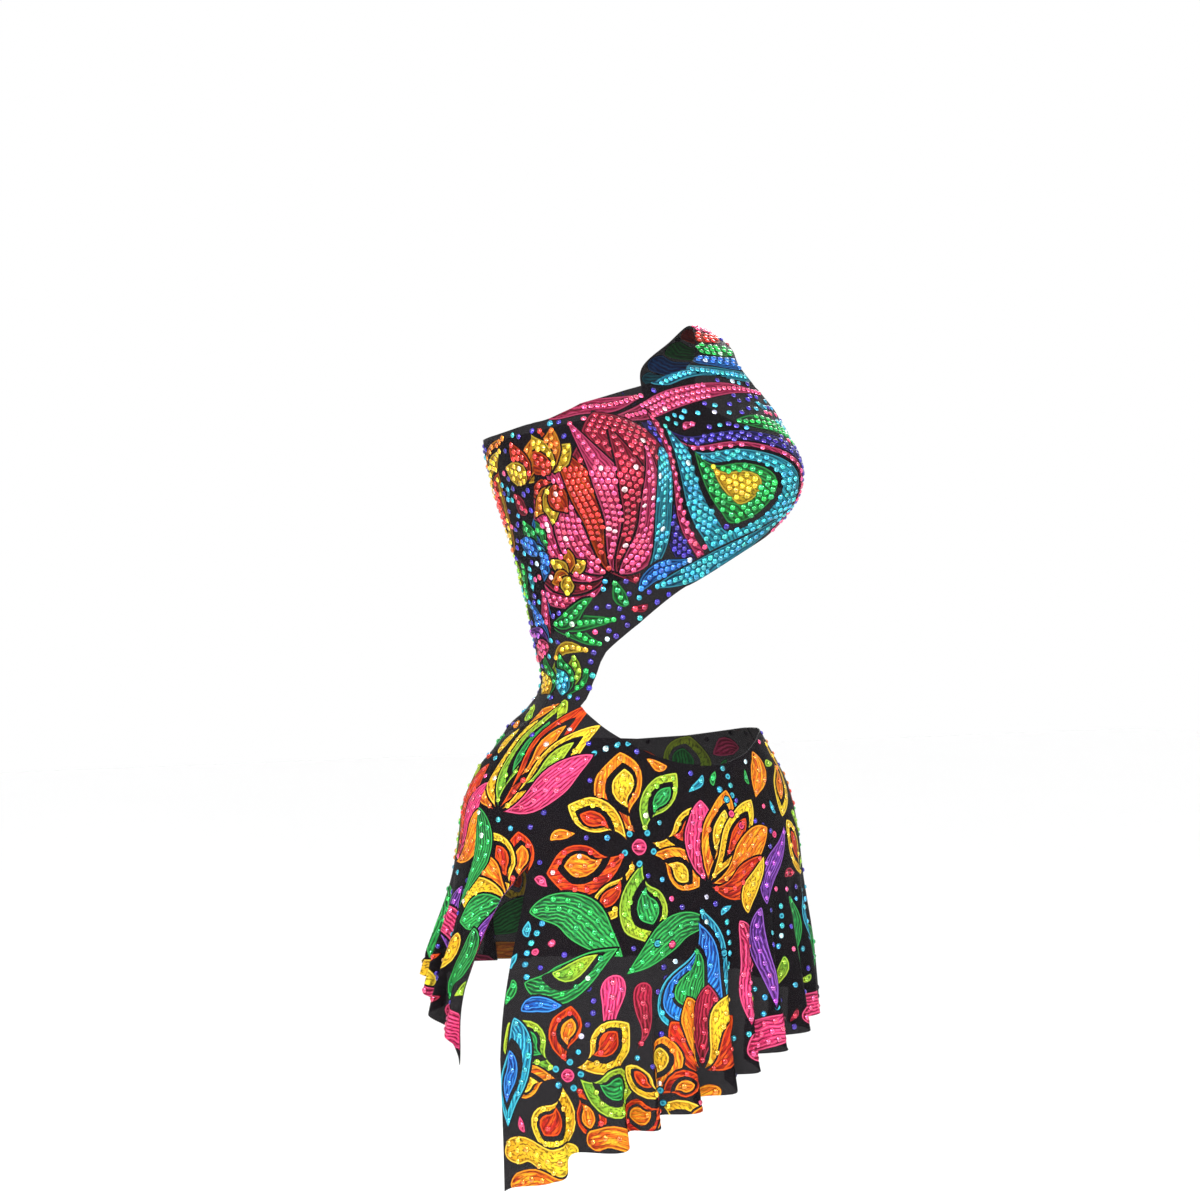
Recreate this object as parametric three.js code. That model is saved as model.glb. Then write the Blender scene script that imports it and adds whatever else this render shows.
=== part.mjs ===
// A one-shoulder cut-out mini dress in printed stretch mesh, hollow, in the shape it has when worn.
// Millimetres, +Z up. The wearer faces -Y, so +X is the wearer's left.
// The garment is laid out round the body's upright axis, with heights measured from the waist.
// Angles go round that axis: 0 is the centre front, 90 the wearer's left side, 180 the centre back.
// The exported group is then moved so that its origin is under the crest of the shoulder strap,
// where the wearer's left shoulder carries the dress.
import * as THREE from "three";

const CLOTH_WALL = 1.2; // thickness of the mesh cloth with its edges turned
const SEAM_GAP = 0.3; // between two panels that are sewn together
const ROUNDNESS = 2.3; // exponent of the body's sections: 2 would be an ellipse
const LEFT_SEAM = 88; // degrees, side seam under the wearer's left arm
const RIGHT_SEAM = -86; // degrees, side seam at the right of the waist
const CUT_OUT_FRONT = -56; // degrees, where the waist cut-out starts on the front
const CUT_OUT_BACK = 235; // degrees, where the cut-out ends on the back
const FULL_TURN = 360;

// Sections of the general figure and, below the hips, of the flared skirt without its flutes.
const SECTIONS = [
  { height: -480, halfWidth: 190, front: 152, back: 152, shift: -12 },
  { height: -400, halfWidth: 190, front: 146, back: 149, shift: -12 },
  { height: -350, halfWidth: 190, front: 140, back: 146, shift: -12 },
  { height: -300, halfWidth: 191, front: 133, back: 140, shift: -11 },
  { height: -250, halfWidth: 191, front: 123, back: 132, shift: -7 },
  { height: -200, halfWidth: 187, front: 113, back: 122, shift: -3 },
  { height: -150, halfWidth: 182, front: 106, back: 112, shift: -1 },
  { height: -100, halfWidth: 172, front: 100, back: 100, shift: -3 },
  { height: -50, halfWidth: 140, front: 92, back: 86, shift: -1 },
  { height: 0, halfWidth: 101, front: 82, back: 76, shift: 6 },
  { height: 50, halfWidth: 109, front: 84, back: 78, shift: 7 },
  { height: 100, halfWidth: 119, front: 92, back: 84, shift: 6 },
  { height: 150, halfWidth: 130, front: 98, back: 90, shift: 2 },
  { height: 200, halfWidth: 146, front: 98, back: 95, shift: 0 },
  { height: 250, halfWidth: 157, front: 90, back: 96, shift: 0 },
  { height: 300, halfWidth: 150, front: 74, back: 92, shift: 0 },
  { height: 340, halfWidth: 140, front: 58, back: 84, shift: 0 },
];

// The two cups, as soft swellings of the front panel over the sections.
const CUP = { side: 88, height: 208, depth: 72, width: 62, reach: 60, spread: 10 };

// Edges, as height over angle. A seam that two panels share is in both of their tables.
const BODICE_FRONT_TOP = [
  [RIGHT_SEAM, 255], [-71, 258], [-57, 264], [-45, 270], [-31, 279], [-19, 288], [-8, 297],
  [5, 312], [40.5, 300], [47, 287], [55, 276], [65, 267], [76, 261], [LEFT_SEAM, 258],
];
const BODICE_FRONT_BOTTOM = [
  [RIGHT_SEAM, -3], [CUT_OUT_FRONT, -14], [-54, 8], [-48, 27], [-42.5, 38], [-32, 52], [-22, 66],
  [-11, 84], [0, 102], [12, 118], [26, 137], [36, 150], [44, 164], [54, 184], [66, 198],
  [LEFT_SEAM, 208],
];
const BODICE_BACK_TOP = [
  [LEFT_SEAM, 258], [97, 263], [107, 271], [118, 282], [128, 292], [158, 300], [170, 285],
  [184, 272], [200, 260], [220, 250], [240, 245], [252, 245], [264, 249],
  [FULL_TURN + RIGHT_SEAM, 255],
];
const BODICE_BACK_BOTTOM = [
  [LEFT_SEAM, 208], [106, 200], [120, 185], [135, 163], [150, 138], [165, 114], [180, 92],
  [195, 72], [210, 54], [222, 38], [231, 18], [CUT_OUT_BACK, -8], [FULL_TURN + RIGHT_SEAM, -3],
];
const SKIRT_TOP = [
  [RIGHT_SEAM, -3], [CUT_OUT_FRONT, -14], [-50, -20], [-42, -27], [-28.5, -40], [-18.5, -50],
  [-10, -60], [0, -69], [8, -73], [17, -71], [28, -64], [40, -54], [49, -47], [60, -43],
  [75, -42], [LEFT_SEAM, -43], [110, -48], [135, -54], [160, -57], [185, -54], [205, -45],
  [222, -28], [CUT_OUT_BACK, -8], [FULL_TURN + RIGHT_SEAM, -3],
];
const HEM_BEHIND_SLIT = [[RIGHT_SEAM, -305], [-70, -326], [-58, -338], [-54, -356]];
const HEM_BEFORE_SLIT = [
  [-54, -464], [-43, -438], [-29, -424], [-12, -406], [-4, -394], [6, -382], [14, -366],
  [21, -350], [32, -338], [46, -328], [60, -318], [LEFT_SEAM, -312],
];
const HEM_BACK = [
  [LEFT_SEAM, -312], [120, -303], [155, -294], [190, -286], [225, -280], [255, -282],
  [FULL_TURN + RIGHT_SEAM, -305],
];

// The right seam of the bodice leans forward towards the underarm, as angles over height. The
// panels on its two sides give way to it up to the home angles beside it.
const BODICE_RIGHT_SEAM = [[-3, RIGHT_SEAM], [70, -81], [160, -78], [210, -70], [255, -64]];
const SEAM_GIVES_TO_FRONT = -40;
const SEAM_GIVES_TO_BACK = 232;

// The slit over the right thigh, as the angles of its two edges over height.
const SLIT_TOP = -160;
const SLIT_ANGLE = -54;
const SLIT_FRONT_EDGE = [
  [SLIT_TOP, SLIT_ANGLE], [-210, -56.5], [-290, -61.5], [-340, -64], [-480, -65.5],
];
const SLIT_BACK_EDGE = [
  [SLIT_TOP, SLIT_ANGLE], [-177, -60], [-190, -65], [-216, -71], [-280, -82], [-360, -90],
];
// Below the hip the right seam swings back, as the cloth behind the slit falls away from it.
const RIGHT_SEAM_FALL = [[SLIT_TOP, RIGHT_SEAM], [-216, -94], [-280, -103], [-360, -110]];

// Flutes of the flared hem, each with the home angle where it ends and its depth at the hem.
const FLUTES_BEHIND_SLIT = [{ end: -70, depth: 24 }, { end: SLIT_ANGLE, depth: 20 }];
const FLUTES_BEFORE_SLIT = [
  { end: -29, depth: 17 }, { end: -12, depth: 24 }, { end: -4, depth: 20 },
  { end: 6, depth: 22 }, { end: 14, depth: 22 }, { end: 21, depth: 24 }, { end: 32, depth: 26 },
  { end: 46, depth: 26 }, { end: 60, depth: 26 }, { end: 74, depth: 28 },
  { end: LEFT_SEAM, depth: 25 },
];
const FLUTES_BACK = [
  { end: 103, depth: 27 }, { end: 120, depth: 24 }, { end: 135, depth: 28 },
  { end: 152, depth: 25 }, { end: 167, depth: 28 }, { end: 184, depth: 24 },
  { end: 200, depth: 27 }, { end: 215, depth: 24 }, { end: 232, depth: 28 },
  { end: 247, depth: 25 }, { end: 261, depth: 28 }, { end: FULL_TURN + RIGHT_SEAM, depth: 24 },
];
// Height where the flutes begin, over the home angle.
const FLUTE_START = [
  [RIGHT_SEAM, -165], [-54, -290], [-30, -285], [-10, -240], [15, -185], [40, -160],
  [FULL_TURN + RIGHT_SEAM, -165],
];
const FLUTE_LEAN = 0.42; // how far a crest hangs over towards its end, as a share of the flute
const FLUTE_SINK = 9; // how far the valleys lie inside the plain skirt at the hem
const FLUTE_REACH = 1.25; // where a flute would be full, as a share of the way down to the hem
const HEM_STEP = 0.7; // share of the hem's slope that the hanging side of a flute takes up

// The strap's two edges between the front and back roots, over the shoulder.
const STRAP_FRONT_ROOT = { neck: 5, arm: 40.5 };
const STRAP_BACK_ROOT = { neck: 158, arm: 128 };
const STRAP_NECK_EDGE = [
  [37, -55, 326], [54, -31, 347], [69, 5, 367], [66, 38, 353], [50, 66, 328],
];
const STRAP_ARM_EDGE = [
  [91, -55, 321], [99, -29, 341], [110, 6, 351], [114, 38, 339], [112, 62, 316],
];
const STRAP_CREST = 3; // place of the crest among the strap's sections, counted from the front root
const STRAP_END = 6; // place of the back root
const STRAP_CROWN = 3; // how far the strap's middle stands above its edges
const STRAP_RUN_IN = 26; // height below a root that sets the strap's direction there
const STRAP_SECTION_STEP = 34; // from one of the strap's sections to the next, about

// How finely each panel is drawn.
const BODICE_ROWS = 12;
const STRAP_ROWS = 5;
const SKIRT_ROWS_ABOVE_SLIT = 4;
const SKIRT_ROWS_BELOW_SLIT = 6;
const FLUTE_STEPS = 8;

const PRINT = { color: 0x2b2430, roughness: 0.62, metalness: 0 };

const radians = THREE.MathUtils.degToRad;
const mix = THREE.MathUtils.lerp;

// Smooth curve through [place, value] rows, flat in curvature at the ends.
function curveThrough(rows, place) {
  const last = rows.length - 1;
  const at = Math.min(Math.max(place, rows[0][0]), rows[last][0]);
  let i = 0;
  while (i < last - 1 && rows[i + 1][0] < at) i += 1;
  const slope = (k) => {
    const before = rows[Math.max(k - 1, 0)];
    const after = rows[Math.min(k + 1, last)];
    return (after[1] - before[1]) / (after[0] - before[0]);
  };
  const span = rows[i + 1][0] - rows[i][0];
  const s = (at - rows[i][0]) / span;
  return (
    (2 * s ** 3 - 3 * s ** 2 + 1) * rows[i][1] +
    (s ** 3 - 2 * s ** 2 + s) * span * slope(i) +
    (3 * s ** 2 - 2 * s ** 3) * rows[i + 1][1] +
    (s ** 3 - s ** 2) * span * slope(i + 1)
  );
}

// Straight lines through [place, value] rows.
function lineThrough(rows, place) {
  let i = 0;
  while (i < rows.length - 2 && rows[i + 1][0] < place) i += 1;
  const s = (place - rows[i][0]) / (rows[i + 1][0] - rows[i][0]);
  return mix(rows[i][1], rows[i + 1][1], Math.min(Math.max(s, 0), 1));
}

function smoothStep(from, to, value) {
  return THREE.MathUtils.smoothstep(value, from, to);
}

const column = (name) => SECTIONS.map((row) => [row.height, row[name]]);
const HALF_WIDTH = column("halfWidth");
const FRONT = column("front");
const BACK = column("back");
const SHIFT = column("shift");

const signedPower = (value, power) => Math.sign(value) * Math.abs(value) ** power;

// A point of a section, with the body's superellipse grown by extra.
function sectionPoint(angle, height, extra = 0) {
  const across = Math.sin(radians(angle));
  const ahead = Math.cos(radians(angle));
  const depth = ahead > 0 ? curveThrough(FRONT, height) : curveThrough(BACK, height);
  return new THREE.Vector3(
    curveThrough(SHIFT, height) +
      (curveThrough(HALF_WIDTH, height) + extra) * signedPower(across, 2 / ROUNDNESS),
    -(depth + extra) * signedPower(ahead, 2 / ROUNDNESS),
    height,
  );
}

// A point of the fitted garment: the section with the two cups over it.
function figurePoint(angle, height) {
  const point = sectionPoint(angle, height);
  const facing = Math.sqrt(Math.max(Math.cos(radians(angle)), 0));
  for (const side of [-1, 1]) {
    const swelling =
      facing *
      Math.exp(
        -(((point.x - side * CUP.side) / CUP.width) ** 2) -
          ((height - CUP.height) / CUP.reach) ** 2,
      );
    point.y -= CUP.depth * swelling;
    point.x += side * CUP.spread * swelling;
  }
  return point;
}

// A point of the strap: across 0 is its neck edge and 1 its arm edge, along counts its sections.
function strapPoint(across, along) {
  const edge = (rootAngle, backAngle, middle) => {
    const frontHeight = curveThrough(BODICE_FRONT_TOP, rootAngle);
    const backHeight = curveThrough(BODICE_BACK_TOP, backAngle);
    const points = [
      figurePoint(rootAngle, frontHeight - STRAP_RUN_IN),
      figurePoint(rootAngle, frontHeight),
      ...middle.map((p) => new THREE.Vector3(...p)),
      figurePoint(backAngle, backHeight),
      figurePoint(backAngle, backHeight - STRAP_RUN_IN),
    ];
    const path = new THREE.CatmullRomCurve3(points, false, "centripetal");
    return path.getPoint((along + 1) / (points.length - 1));
  };
  const point = edge(STRAP_FRONT_ROOT.neck, STRAP_BACK_ROOT.neck, STRAP_NECK_EDGE).lerp(
    edge(STRAP_FRONT_ROOT.arm, STRAP_BACK_ROOT.arm, STRAP_ARM_EDGE),
    across,
  );
  // Near its roots the strap keeps the curve that the panel has there.
  const rootCurve = (root, top) => {
    const rootPoint = (share) => {
      const angle = mix(root.neck, root.arm, share);
      return figurePoint(angle, lineThrough([[0, curveThrough(top, root.neck)],
        [1, curveThrough(top, root.arm)]], share));
    };
    return rootPoint(across).sub(rootPoint(0).lerp(rootPoint(1), across));
  };
  const frontShare = 1 - smoothStep(0, 2, along);
  const backShare = smoothStep(STRAP_END - 2, STRAP_END, along);
  point.addScaledVector(rootCurve(STRAP_FRONT_ROOT, BODICE_FRONT_TOP), frontShare);
  point.addScaledVector(rootCurve(STRAP_BACK_ROOT, BODICE_BACK_TOP), backShare);
  const turn = (Math.PI * along) / STRAP_END;
  const crown = STRAP_CROWN * 4 * across * (1 - across) * (1 - frontShare - backShare);
  return point.add(new THREE.Vector3(0, -Math.cos(turn) * crown, Math.sin(turn) * crown));
}

// The flute that a home angle lies in, and how far across it the angle is.
function fluteAt(flutes, first, home) {
  let start = first;
  let i = 0;
  while (i < flutes.length - 1 && home > flutes[i].end) {
    start = flutes[i].end;
    i += 1;
  }
  const end = flutes[i].end;
  return { start, end, depth: flutes[i].depth, across: (home - start) / (end - start) };
}

// Height of the hem, which drops by steps where the flutes hang over.
function hemHeight(rows, flutes, first, home) {
  const { start, end, across } = fluteAt(flutes, first, home);
  const share = across - (HEM_STEP * (1 - Math.cos(2 * Math.PI * across))) / (2 * Math.PI);
  return mix(lineThrough(rows, start), lineThrough(rows, end), share) +
    lineThrough(rows, home) - mix(lineThrough(rows, start), lineThrough(rows, end), across);
}

// A point of the skirt. spread turns a home angle at the hip into the angle at this height.
function skirtPoint(home, height, hem, flutes, first, spread) {
  const { start, end, depth, across } = fluteAt(flutes, first, home);
  const begin = lineThrough(FLUTE_START, home);
  const fall = smoothStep(0, FLUTE_REACH, (begin - height) / (begin - hem));
  const crest = (1 - Math.cos(2 * Math.PI * across)) / 2;
  const angle = spread(mix(start, end, across + FLUTE_LEAN * fall * crest), height);
  return sectionPoint(angle, height, fall * (depth * crest - FLUTE_SINK));
}

const rightSeamAt = (height) => lineThrough([...RIGHT_SEAM_FALL].reverse(), height);
const slitEdgeAt = (edge, height) => lineThrough([...edge].reverse(), height);

function spreadBehindSlit(home, height) {
  const share = (home - RIGHT_SEAM) / (SLIT_ANGLE - RIGHT_SEAM);
  return mix(rightSeamAt(height), slitEdgeAt(SLIT_BACK_EDGE, height), share);
}

function spreadBeforeSlit(home, height) {
  const share = (home - SLIT_ANGLE) / (LEFT_SEAM - SLIT_ANGLE);
  return mix(slitEdgeAt(SLIT_FRONT_EDGE, height), LEFT_SEAM, share);
}

function spreadBack(home, height) {
  const share = (home - LEFT_SEAM) / (FULL_TURN + RIGHT_SEAM - LEFT_SEAM);
  return mix(LEFT_SEAM, FULL_TURN + rightSeamAt(height), share);
}

// A sheet of cloth: points with their outward normals, and the four-cornered cells between them.
class Sheet {
  constructor() {
    this.points = [];
    this.normals = [];
    this.cells = [];
  }

  // Adds a grid of the surface over the two lists of places, and returns its point numbers.
  // shared(i, j) may give the number of a point that the grid has in common with another.
  addGrid(acrossPlaces, alongPlaces, surface, shared = () => undefined) {
    const step = 1e-3;
    const numbers = acrossPlaces.map((a, i) =>
      alongPlaces.map((b, j) => {
        const known = shared(i, j);
        if (known !== undefined) return known;
        const across = surface(a + step, b).sub(surface(a - step, b));
        const along = surface(a, b + step).sub(surface(a, b - step));
        this.points.push(surface(a, b));
        this.normals.push(across.cross(along).normalize());
        return this.points.length - 1;
      }),
    );
    for (let i = 0; i < numbers.length - 1; i += 1) {
      for (let j = 0; j < alongPlaces.length - 1; j += 1) {
        this.cells.push([
          numbers[i][j], numbers[i + 1][j], numbers[i + 1][j + 1], numbers[i][j + 1],
        ]);
      }
    }
    return numbers;
  }

  // The closed wall of cloth: the sheet moved out and in by half the thickness, with its rim.
  wall(thickness) {
    const count = this.points.length;
    const positions = [];
    for (const side of [0.5, -0.5]) {
      this.points.forEach((point, k) => {
        const moved = point.clone().addScaledVector(this.normals[k], side * thickness);
        positions.push(moved.x, moved.y, moved.z);
      });
    }
    const triangles = [];
    const edges = new Map();
    const distance = (from, to) => this.points[from].distanceTo(this.points[to]);
    for (const cell of this.cells) {
      // Each cell is split along its shorter diagonal, on both faces of the wall.
      const [a, b, c, d] = cell;
      const corners = distance(a, c) <= distance(b, d) ? [a, b, c, d] : [b, c, d, a];
      for (const [p, q, r] of [[0, 1, 2], [0, 2, 3]].map((t) => t.map((k) => corners[k]))) {
        triangles.push(p, q, r, count + p, count + r, count + q);
      }
      for (const [from, to] of [[a, b], [b, c], [c, d], [d, a]]) {
        if (!edges.delete(`${to} ${from}`)) edges.set(`${from} ${to}`, [from, to]);
      }
    }
    for (const [from, to] of edges.values()) {
      triangles.push(from, count + from, count + to, from, count + to, to);
    }
    const geometry = new THREE.BufferGeometry();
    geometry.setAttribute("position", new THREE.Float32BufferAttribute(positions, 3));
    geometry.setIndex(triangles);
    return geometry;
  }
}

// Places from the first to the last, in even steps, as [place, place, ...].
function evenly(first, last, steps) {
  return Array.from({ length: steps + 1 }, (_, i) => mix(first, last, i / steps));
}

// Places through a list of stops, with that many even steps between each two.
function through(stops, steps) {
  const places = [stops[0]];
  steps.forEach((count, i) => places.push(...evenly(stops[i], stops[i + 1], count).slice(1)));
  return places;
}

// The angle that leaves half the seam gap beside an upright seam.
const seamInset = (height) =>
  THREE.MathUtils.radToDeg(SEAM_GAP / 2 / curveThrough(HALF_WIDTH, height));

// How far a home angle of the bodice goes along with its leaning right seam, from 0 to 1.
function seamGive(home) {
  const front = [[RIGHT_SEAM, 1], [SEAM_GIVES_TO_FRONT, 0]];
  const back = [[SEAM_GIVES_TO_BACK, 0], [FULL_TURN + RIGHT_SEAM, 1]];
  return lineThrough(home < LEFT_SEAM ? front : back, home);
}

// A bodice panel between two upright seams, with the half of the strap that grows out of it.
function bodicePanel({ stops, steps, top, bottom, root, strapFrom, strapTo }) {
  const sheet = new Sheet();
  const first = stops[0];
  const last = stops[stops.length - 1];
  const middle = (first + last) / 2;
  const trimmed = (home, height) => {
    const share = (home - middle) / (last - middle);
    const shift = curveThrough(BODICE_RIGHT_SEAM, height) - RIGHT_SEAM;
    return home + shift * seamGive(home) - share * seamInset(height);
  };
  const surface = (angle, share) => {
    const low = lineThrough(bottom, angle) + SEAM_GAP / 2;
    const height = mix(low, curveThrough(top, angle), share);
    return figurePoint(trimmed(angle, height), height);
  };
  const angles = through(stops, steps);
  const body = sheet.addGrid(angles, evenly(0, 1, BODICE_ROWS), surface);
  const inRoot = (angle) =>
    angle >= Math.min(root.neck, root.arm) - 1e-6 && angle <= Math.max(root.neck, root.arm) + 1e-6;
  const rootNumbers = body.filter((_, i) => inRoot(angles[i])).map((run) => run[BODICE_ROWS]);
  if (root.neck > root.arm) rootNumbers.reverse();
  const towardsCrest = strapTo > strapFrom;
  const crestGap = SEAM_GAP / 2 / STRAP_SECTION_STEP;
  const alongPlaces = evenly(strapFrom, strapTo + (towardsCrest ? -crestGap : crestGap), STRAP_ROWS);
  const acrossPlaces = evenly(0, 1, rootNumbers.length - 1);
  if (towardsCrest) {
    sheet.addGrid(acrossPlaces, alongPlaces, strapPoint, (i, j) =>
      j === 0 ? rootNumbers[i] : undefined,
    );
  } else {
    sheet.addGrid(acrossPlaces, alongPlaces.reverse(), strapPoint, (i, j) =>
      j === STRAP_ROWS ? rootNumbers[i] : undefined,
    );
  }
  return sheet;
}

function bodiceFront() {
  return bodicePanel({
    stops: [RIGHT_SEAM, CUT_OUT_FRONT, STRAP_FRONT_ROOT.neck, STRAP_FRONT_ROOT.arm, LEFT_SEAM],
    steps: [5, 11, 7, 10],
    top: BODICE_FRONT_TOP,
    bottom: BODICE_FRONT_BOTTOM,
    root: STRAP_FRONT_ROOT,
    strapFrom: 0,
    strapTo: STRAP_CREST,
  });
}

function bodiceBack() {
  return bodicePanel({
    stops: [LEFT_SEAM, STRAP_BACK_ROOT.arm, STRAP_BACK_ROOT.neck, CUT_OUT_BACK,
      FULL_TURN + RIGHT_SEAM],
    steps: [6, 6, 12, 6],
    top: BODICE_BACK_TOP,
    bottom: BODICE_BACK_BOTTOM,
    root: STRAP_BACK_ROOT,
    strapFrom: STRAP_END,
    strapTo: STRAP_CREST,
  });
}

// Home angles through the flutes, with the same steps in each.
function fluteAngles(flutes, first) {
  const ends = flutes.map((flute) => flute.end);
  return through([first, ...ends], ends.map(() => FLUTE_STEPS));
}

// Keeps half the seam gap from the upright seams at the two ends of a run of home angles.
function seamTrim(home, height, { start, end }) {
  const inset = seamInset(height);
  return home + (home === start ? inset : 0) - (home === end ? inset : 0);
}

function skirtFront() {
  const sheet = new Sheet();
  const top = (home) => lineThrough(SKIRT_TOP, home) - SEAM_GAP / 2;
  const behind = (home, height, hem) =>
    skirtPoint(home, height, hem, FLUTES_BEHIND_SLIT, RIGHT_SEAM, spreadBehindSlit);
  const before = (home, height, hem) =>
    skirtPoint(home, height, hem, FLUTES_BEFORE_SLIT, SLIT_ANGLE, spreadBeforeSlit);
  const runs = [
    { place: behind, hemRows: HEM_BEHIND_SLIT, flutes: FLUTES_BEHIND_SLIT, first: RIGHT_SEAM,
      start: RIGHT_SEAM, end: null },
    { place: before, hemRows: HEM_BEFORE_SLIT, flutes: FLUTES_BEFORE_SLIT, first: SLIT_ANGLE,
      start: null, end: LEFT_SEAM },
  ];
  const rowCount = SKIRT_ROWS_ABOVE_SLIT + SKIRT_ROWS_BELOW_SLIT;
  let seamColumn = null;
  for (const run of runs) {
    const surface = (home, row) => {
      const hem = hemHeight(run.hemRows, run.flutes, run.first, home);
      const height =
        row <= SKIRT_ROWS_ABOVE_SLIT
          ? mix(top(home), SLIT_TOP, row / SKIRT_ROWS_ABOVE_SLIT)
          : mix(SLIT_TOP, hem, (row - SKIRT_ROWS_ABOVE_SLIT) / SKIRT_ROWS_BELOW_SLIT);
      return run.place(seamTrim(home, height, run), height, hem);
    };
    const lastColumn = seamColumn;
    const angles = fluteAngles(run.flutes, run.first);
    const numbers = sheet.addGrid(angles, evenly(0, rowCount, rowCount), surface, (i, j) =>
      lastColumn && i === 0 && j <= SKIRT_ROWS_ABOVE_SLIT ? lastColumn[j] : undefined,
    );
    seamColumn = numbers[numbers.length - 1];
  }
  return sheet;
}

function skirtBack() {
  const sheet = new Sheet();
  const end = FULL_TURN + RIGHT_SEAM;
  const rowCount = SKIRT_ROWS_ABOVE_SLIT + SKIRT_ROWS_BELOW_SLIT;
  const surface = (home, row) => {
    const hem = hemHeight(HEM_BACK, FLUTES_BACK, LEFT_SEAM, home);
    const top = lineThrough(SKIRT_TOP, home) - SEAM_GAP / 2;
    const height =
      row <= SKIRT_ROWS_ABOVE_SLIT
        ? mix(top, SLIT_TOP, row / SKIRT_ROWS_ABOVE_SLIT)
        : mix(SLIT_TOP, hem, (row - SKIRT_ROWS_ABOVE_SLIT) / SKIRT_ROWS_BELOW_SLIT);
    const trimmed = seamTrim(home, height, { start: LEFT_SEAM, end });
    return skirtPoint(trimmed, height, hem, FLUTES_BACK, LEFT_SEAM, spreadBack);
  };
  sheet.addGrid(fluteAngles(FLUTES_BACK, LEFT_SEAM), evenly(0, rowCount, rowCount), surface);
  return sheet;
}

function clothMesh(name, sheet) {
  const mesh = new THREE.Mesh(sheet.wall(CLOTH_WALL), new THREE.MeshStandardMaterial(PRINT));
  mesh.name = name;
  return mesh;
}

const dress = new THREE.Group();
dress.add(clothMesh("bodice_front", bodiceFront()));
dress.add(clothMesh("bodice_back", bodiceBack()));
dress.add(clothMesh("skirt_front", skirtFront()));
dress.add(clothMesh("skirt_back", skirtBack()));

// The wearer's shoulder touches the underside of the strap at the middle of its crest.
const underCrest = strapPoint(0.5, STRAP_CREST);
underCrest.z -= CLOTH_WALL / 2;
dress.position.copy(underCrest.negate());

export default dress;
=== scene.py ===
"""The looks of a one-shoulder cut-out mini dress of printed, stone-set stretch mesh.

The cloth follows the same formulas as its solids, in millimetres on the figure: +X is the wearer's
left, the front faces -Y, and heights run from the waist. HOLD, under the strap's crest, is the
frame's origin. A home angle says where a point was cut: 0 centre front, 88 left seam, 180 centre
back, -86 or 274 right seam. A print place is (across, height): across is measured along the cloth.
"""

import math

import bpy
import numpy as np
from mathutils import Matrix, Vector
from mathutils.geometry import delaunay_2d_cdt
from mathutils.kdtree import KDTree

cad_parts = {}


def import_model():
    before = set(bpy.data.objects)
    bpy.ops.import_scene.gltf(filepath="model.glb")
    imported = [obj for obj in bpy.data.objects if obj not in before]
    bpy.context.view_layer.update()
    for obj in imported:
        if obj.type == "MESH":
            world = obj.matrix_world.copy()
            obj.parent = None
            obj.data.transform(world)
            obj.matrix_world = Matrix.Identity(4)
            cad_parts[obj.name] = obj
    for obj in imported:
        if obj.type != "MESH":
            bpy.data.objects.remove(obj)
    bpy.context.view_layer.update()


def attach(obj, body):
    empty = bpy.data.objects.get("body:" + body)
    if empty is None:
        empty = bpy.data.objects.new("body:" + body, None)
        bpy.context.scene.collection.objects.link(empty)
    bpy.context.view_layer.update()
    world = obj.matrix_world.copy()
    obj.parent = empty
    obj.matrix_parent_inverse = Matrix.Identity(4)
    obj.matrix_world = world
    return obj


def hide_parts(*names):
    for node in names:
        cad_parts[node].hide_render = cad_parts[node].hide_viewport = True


# Sizes of the garment

MM = 0.001
HOLD = np.array([89.5, 5.5, 361.4])
ROUNDNESS = 2.3         # exponent of the body's sections
SEAM_CLOSE = 0.02       # half the gap between two panels at a seam
LEFT_SEAM, RIGHT_SEAM, RIGHT_SEAM_BACK = 88.0, -86.0, 274.0
CUT_OUT_FRONT, CUT_OUT_BACK = -56.0, 235.0

SECTIONS = np.array([
    # height, half width, front, back, shift
    (-480, 190, 152, 152, -12),
    (-400, 190, 146, 149, -12),
    (-350, 190, 140, 146, -12),
    (-300, 191, 133, 140, -11),
    (-250, 191, 123, 132, -7),
    (-200, 187, 113, 122, -3),
    (-150, 182, 106, 112, -1),
    (-100, 172, 100, 100, -3),
    (-50, 140, 92, 86, -1),
    (0, 101, 82, 76, 6),
    (50, 109, 84, 78, 7),
    (100, 119, 92, 84, 6),
    (150, 130, 98, 90, 2),
    (200, 146, 98, 95, 0),
    (250, 157, 90, 96, 0),
    (300, 150, 74, 92, 0),
    (340, 140, 58, 84, 0),
], float)
HALF_WIDTH, FRONT, BACK, SHIFT = (SECTIONS[:, [0, k]] for k in (1, 2, 3, 4))
CUP_SIDE, CUP_HEIGHT, CUP_DEPTH, CUP_WIDTH, CUP_REACH, CUP_SPREAD = 88, 208, 72, 62, 60, 10

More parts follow.
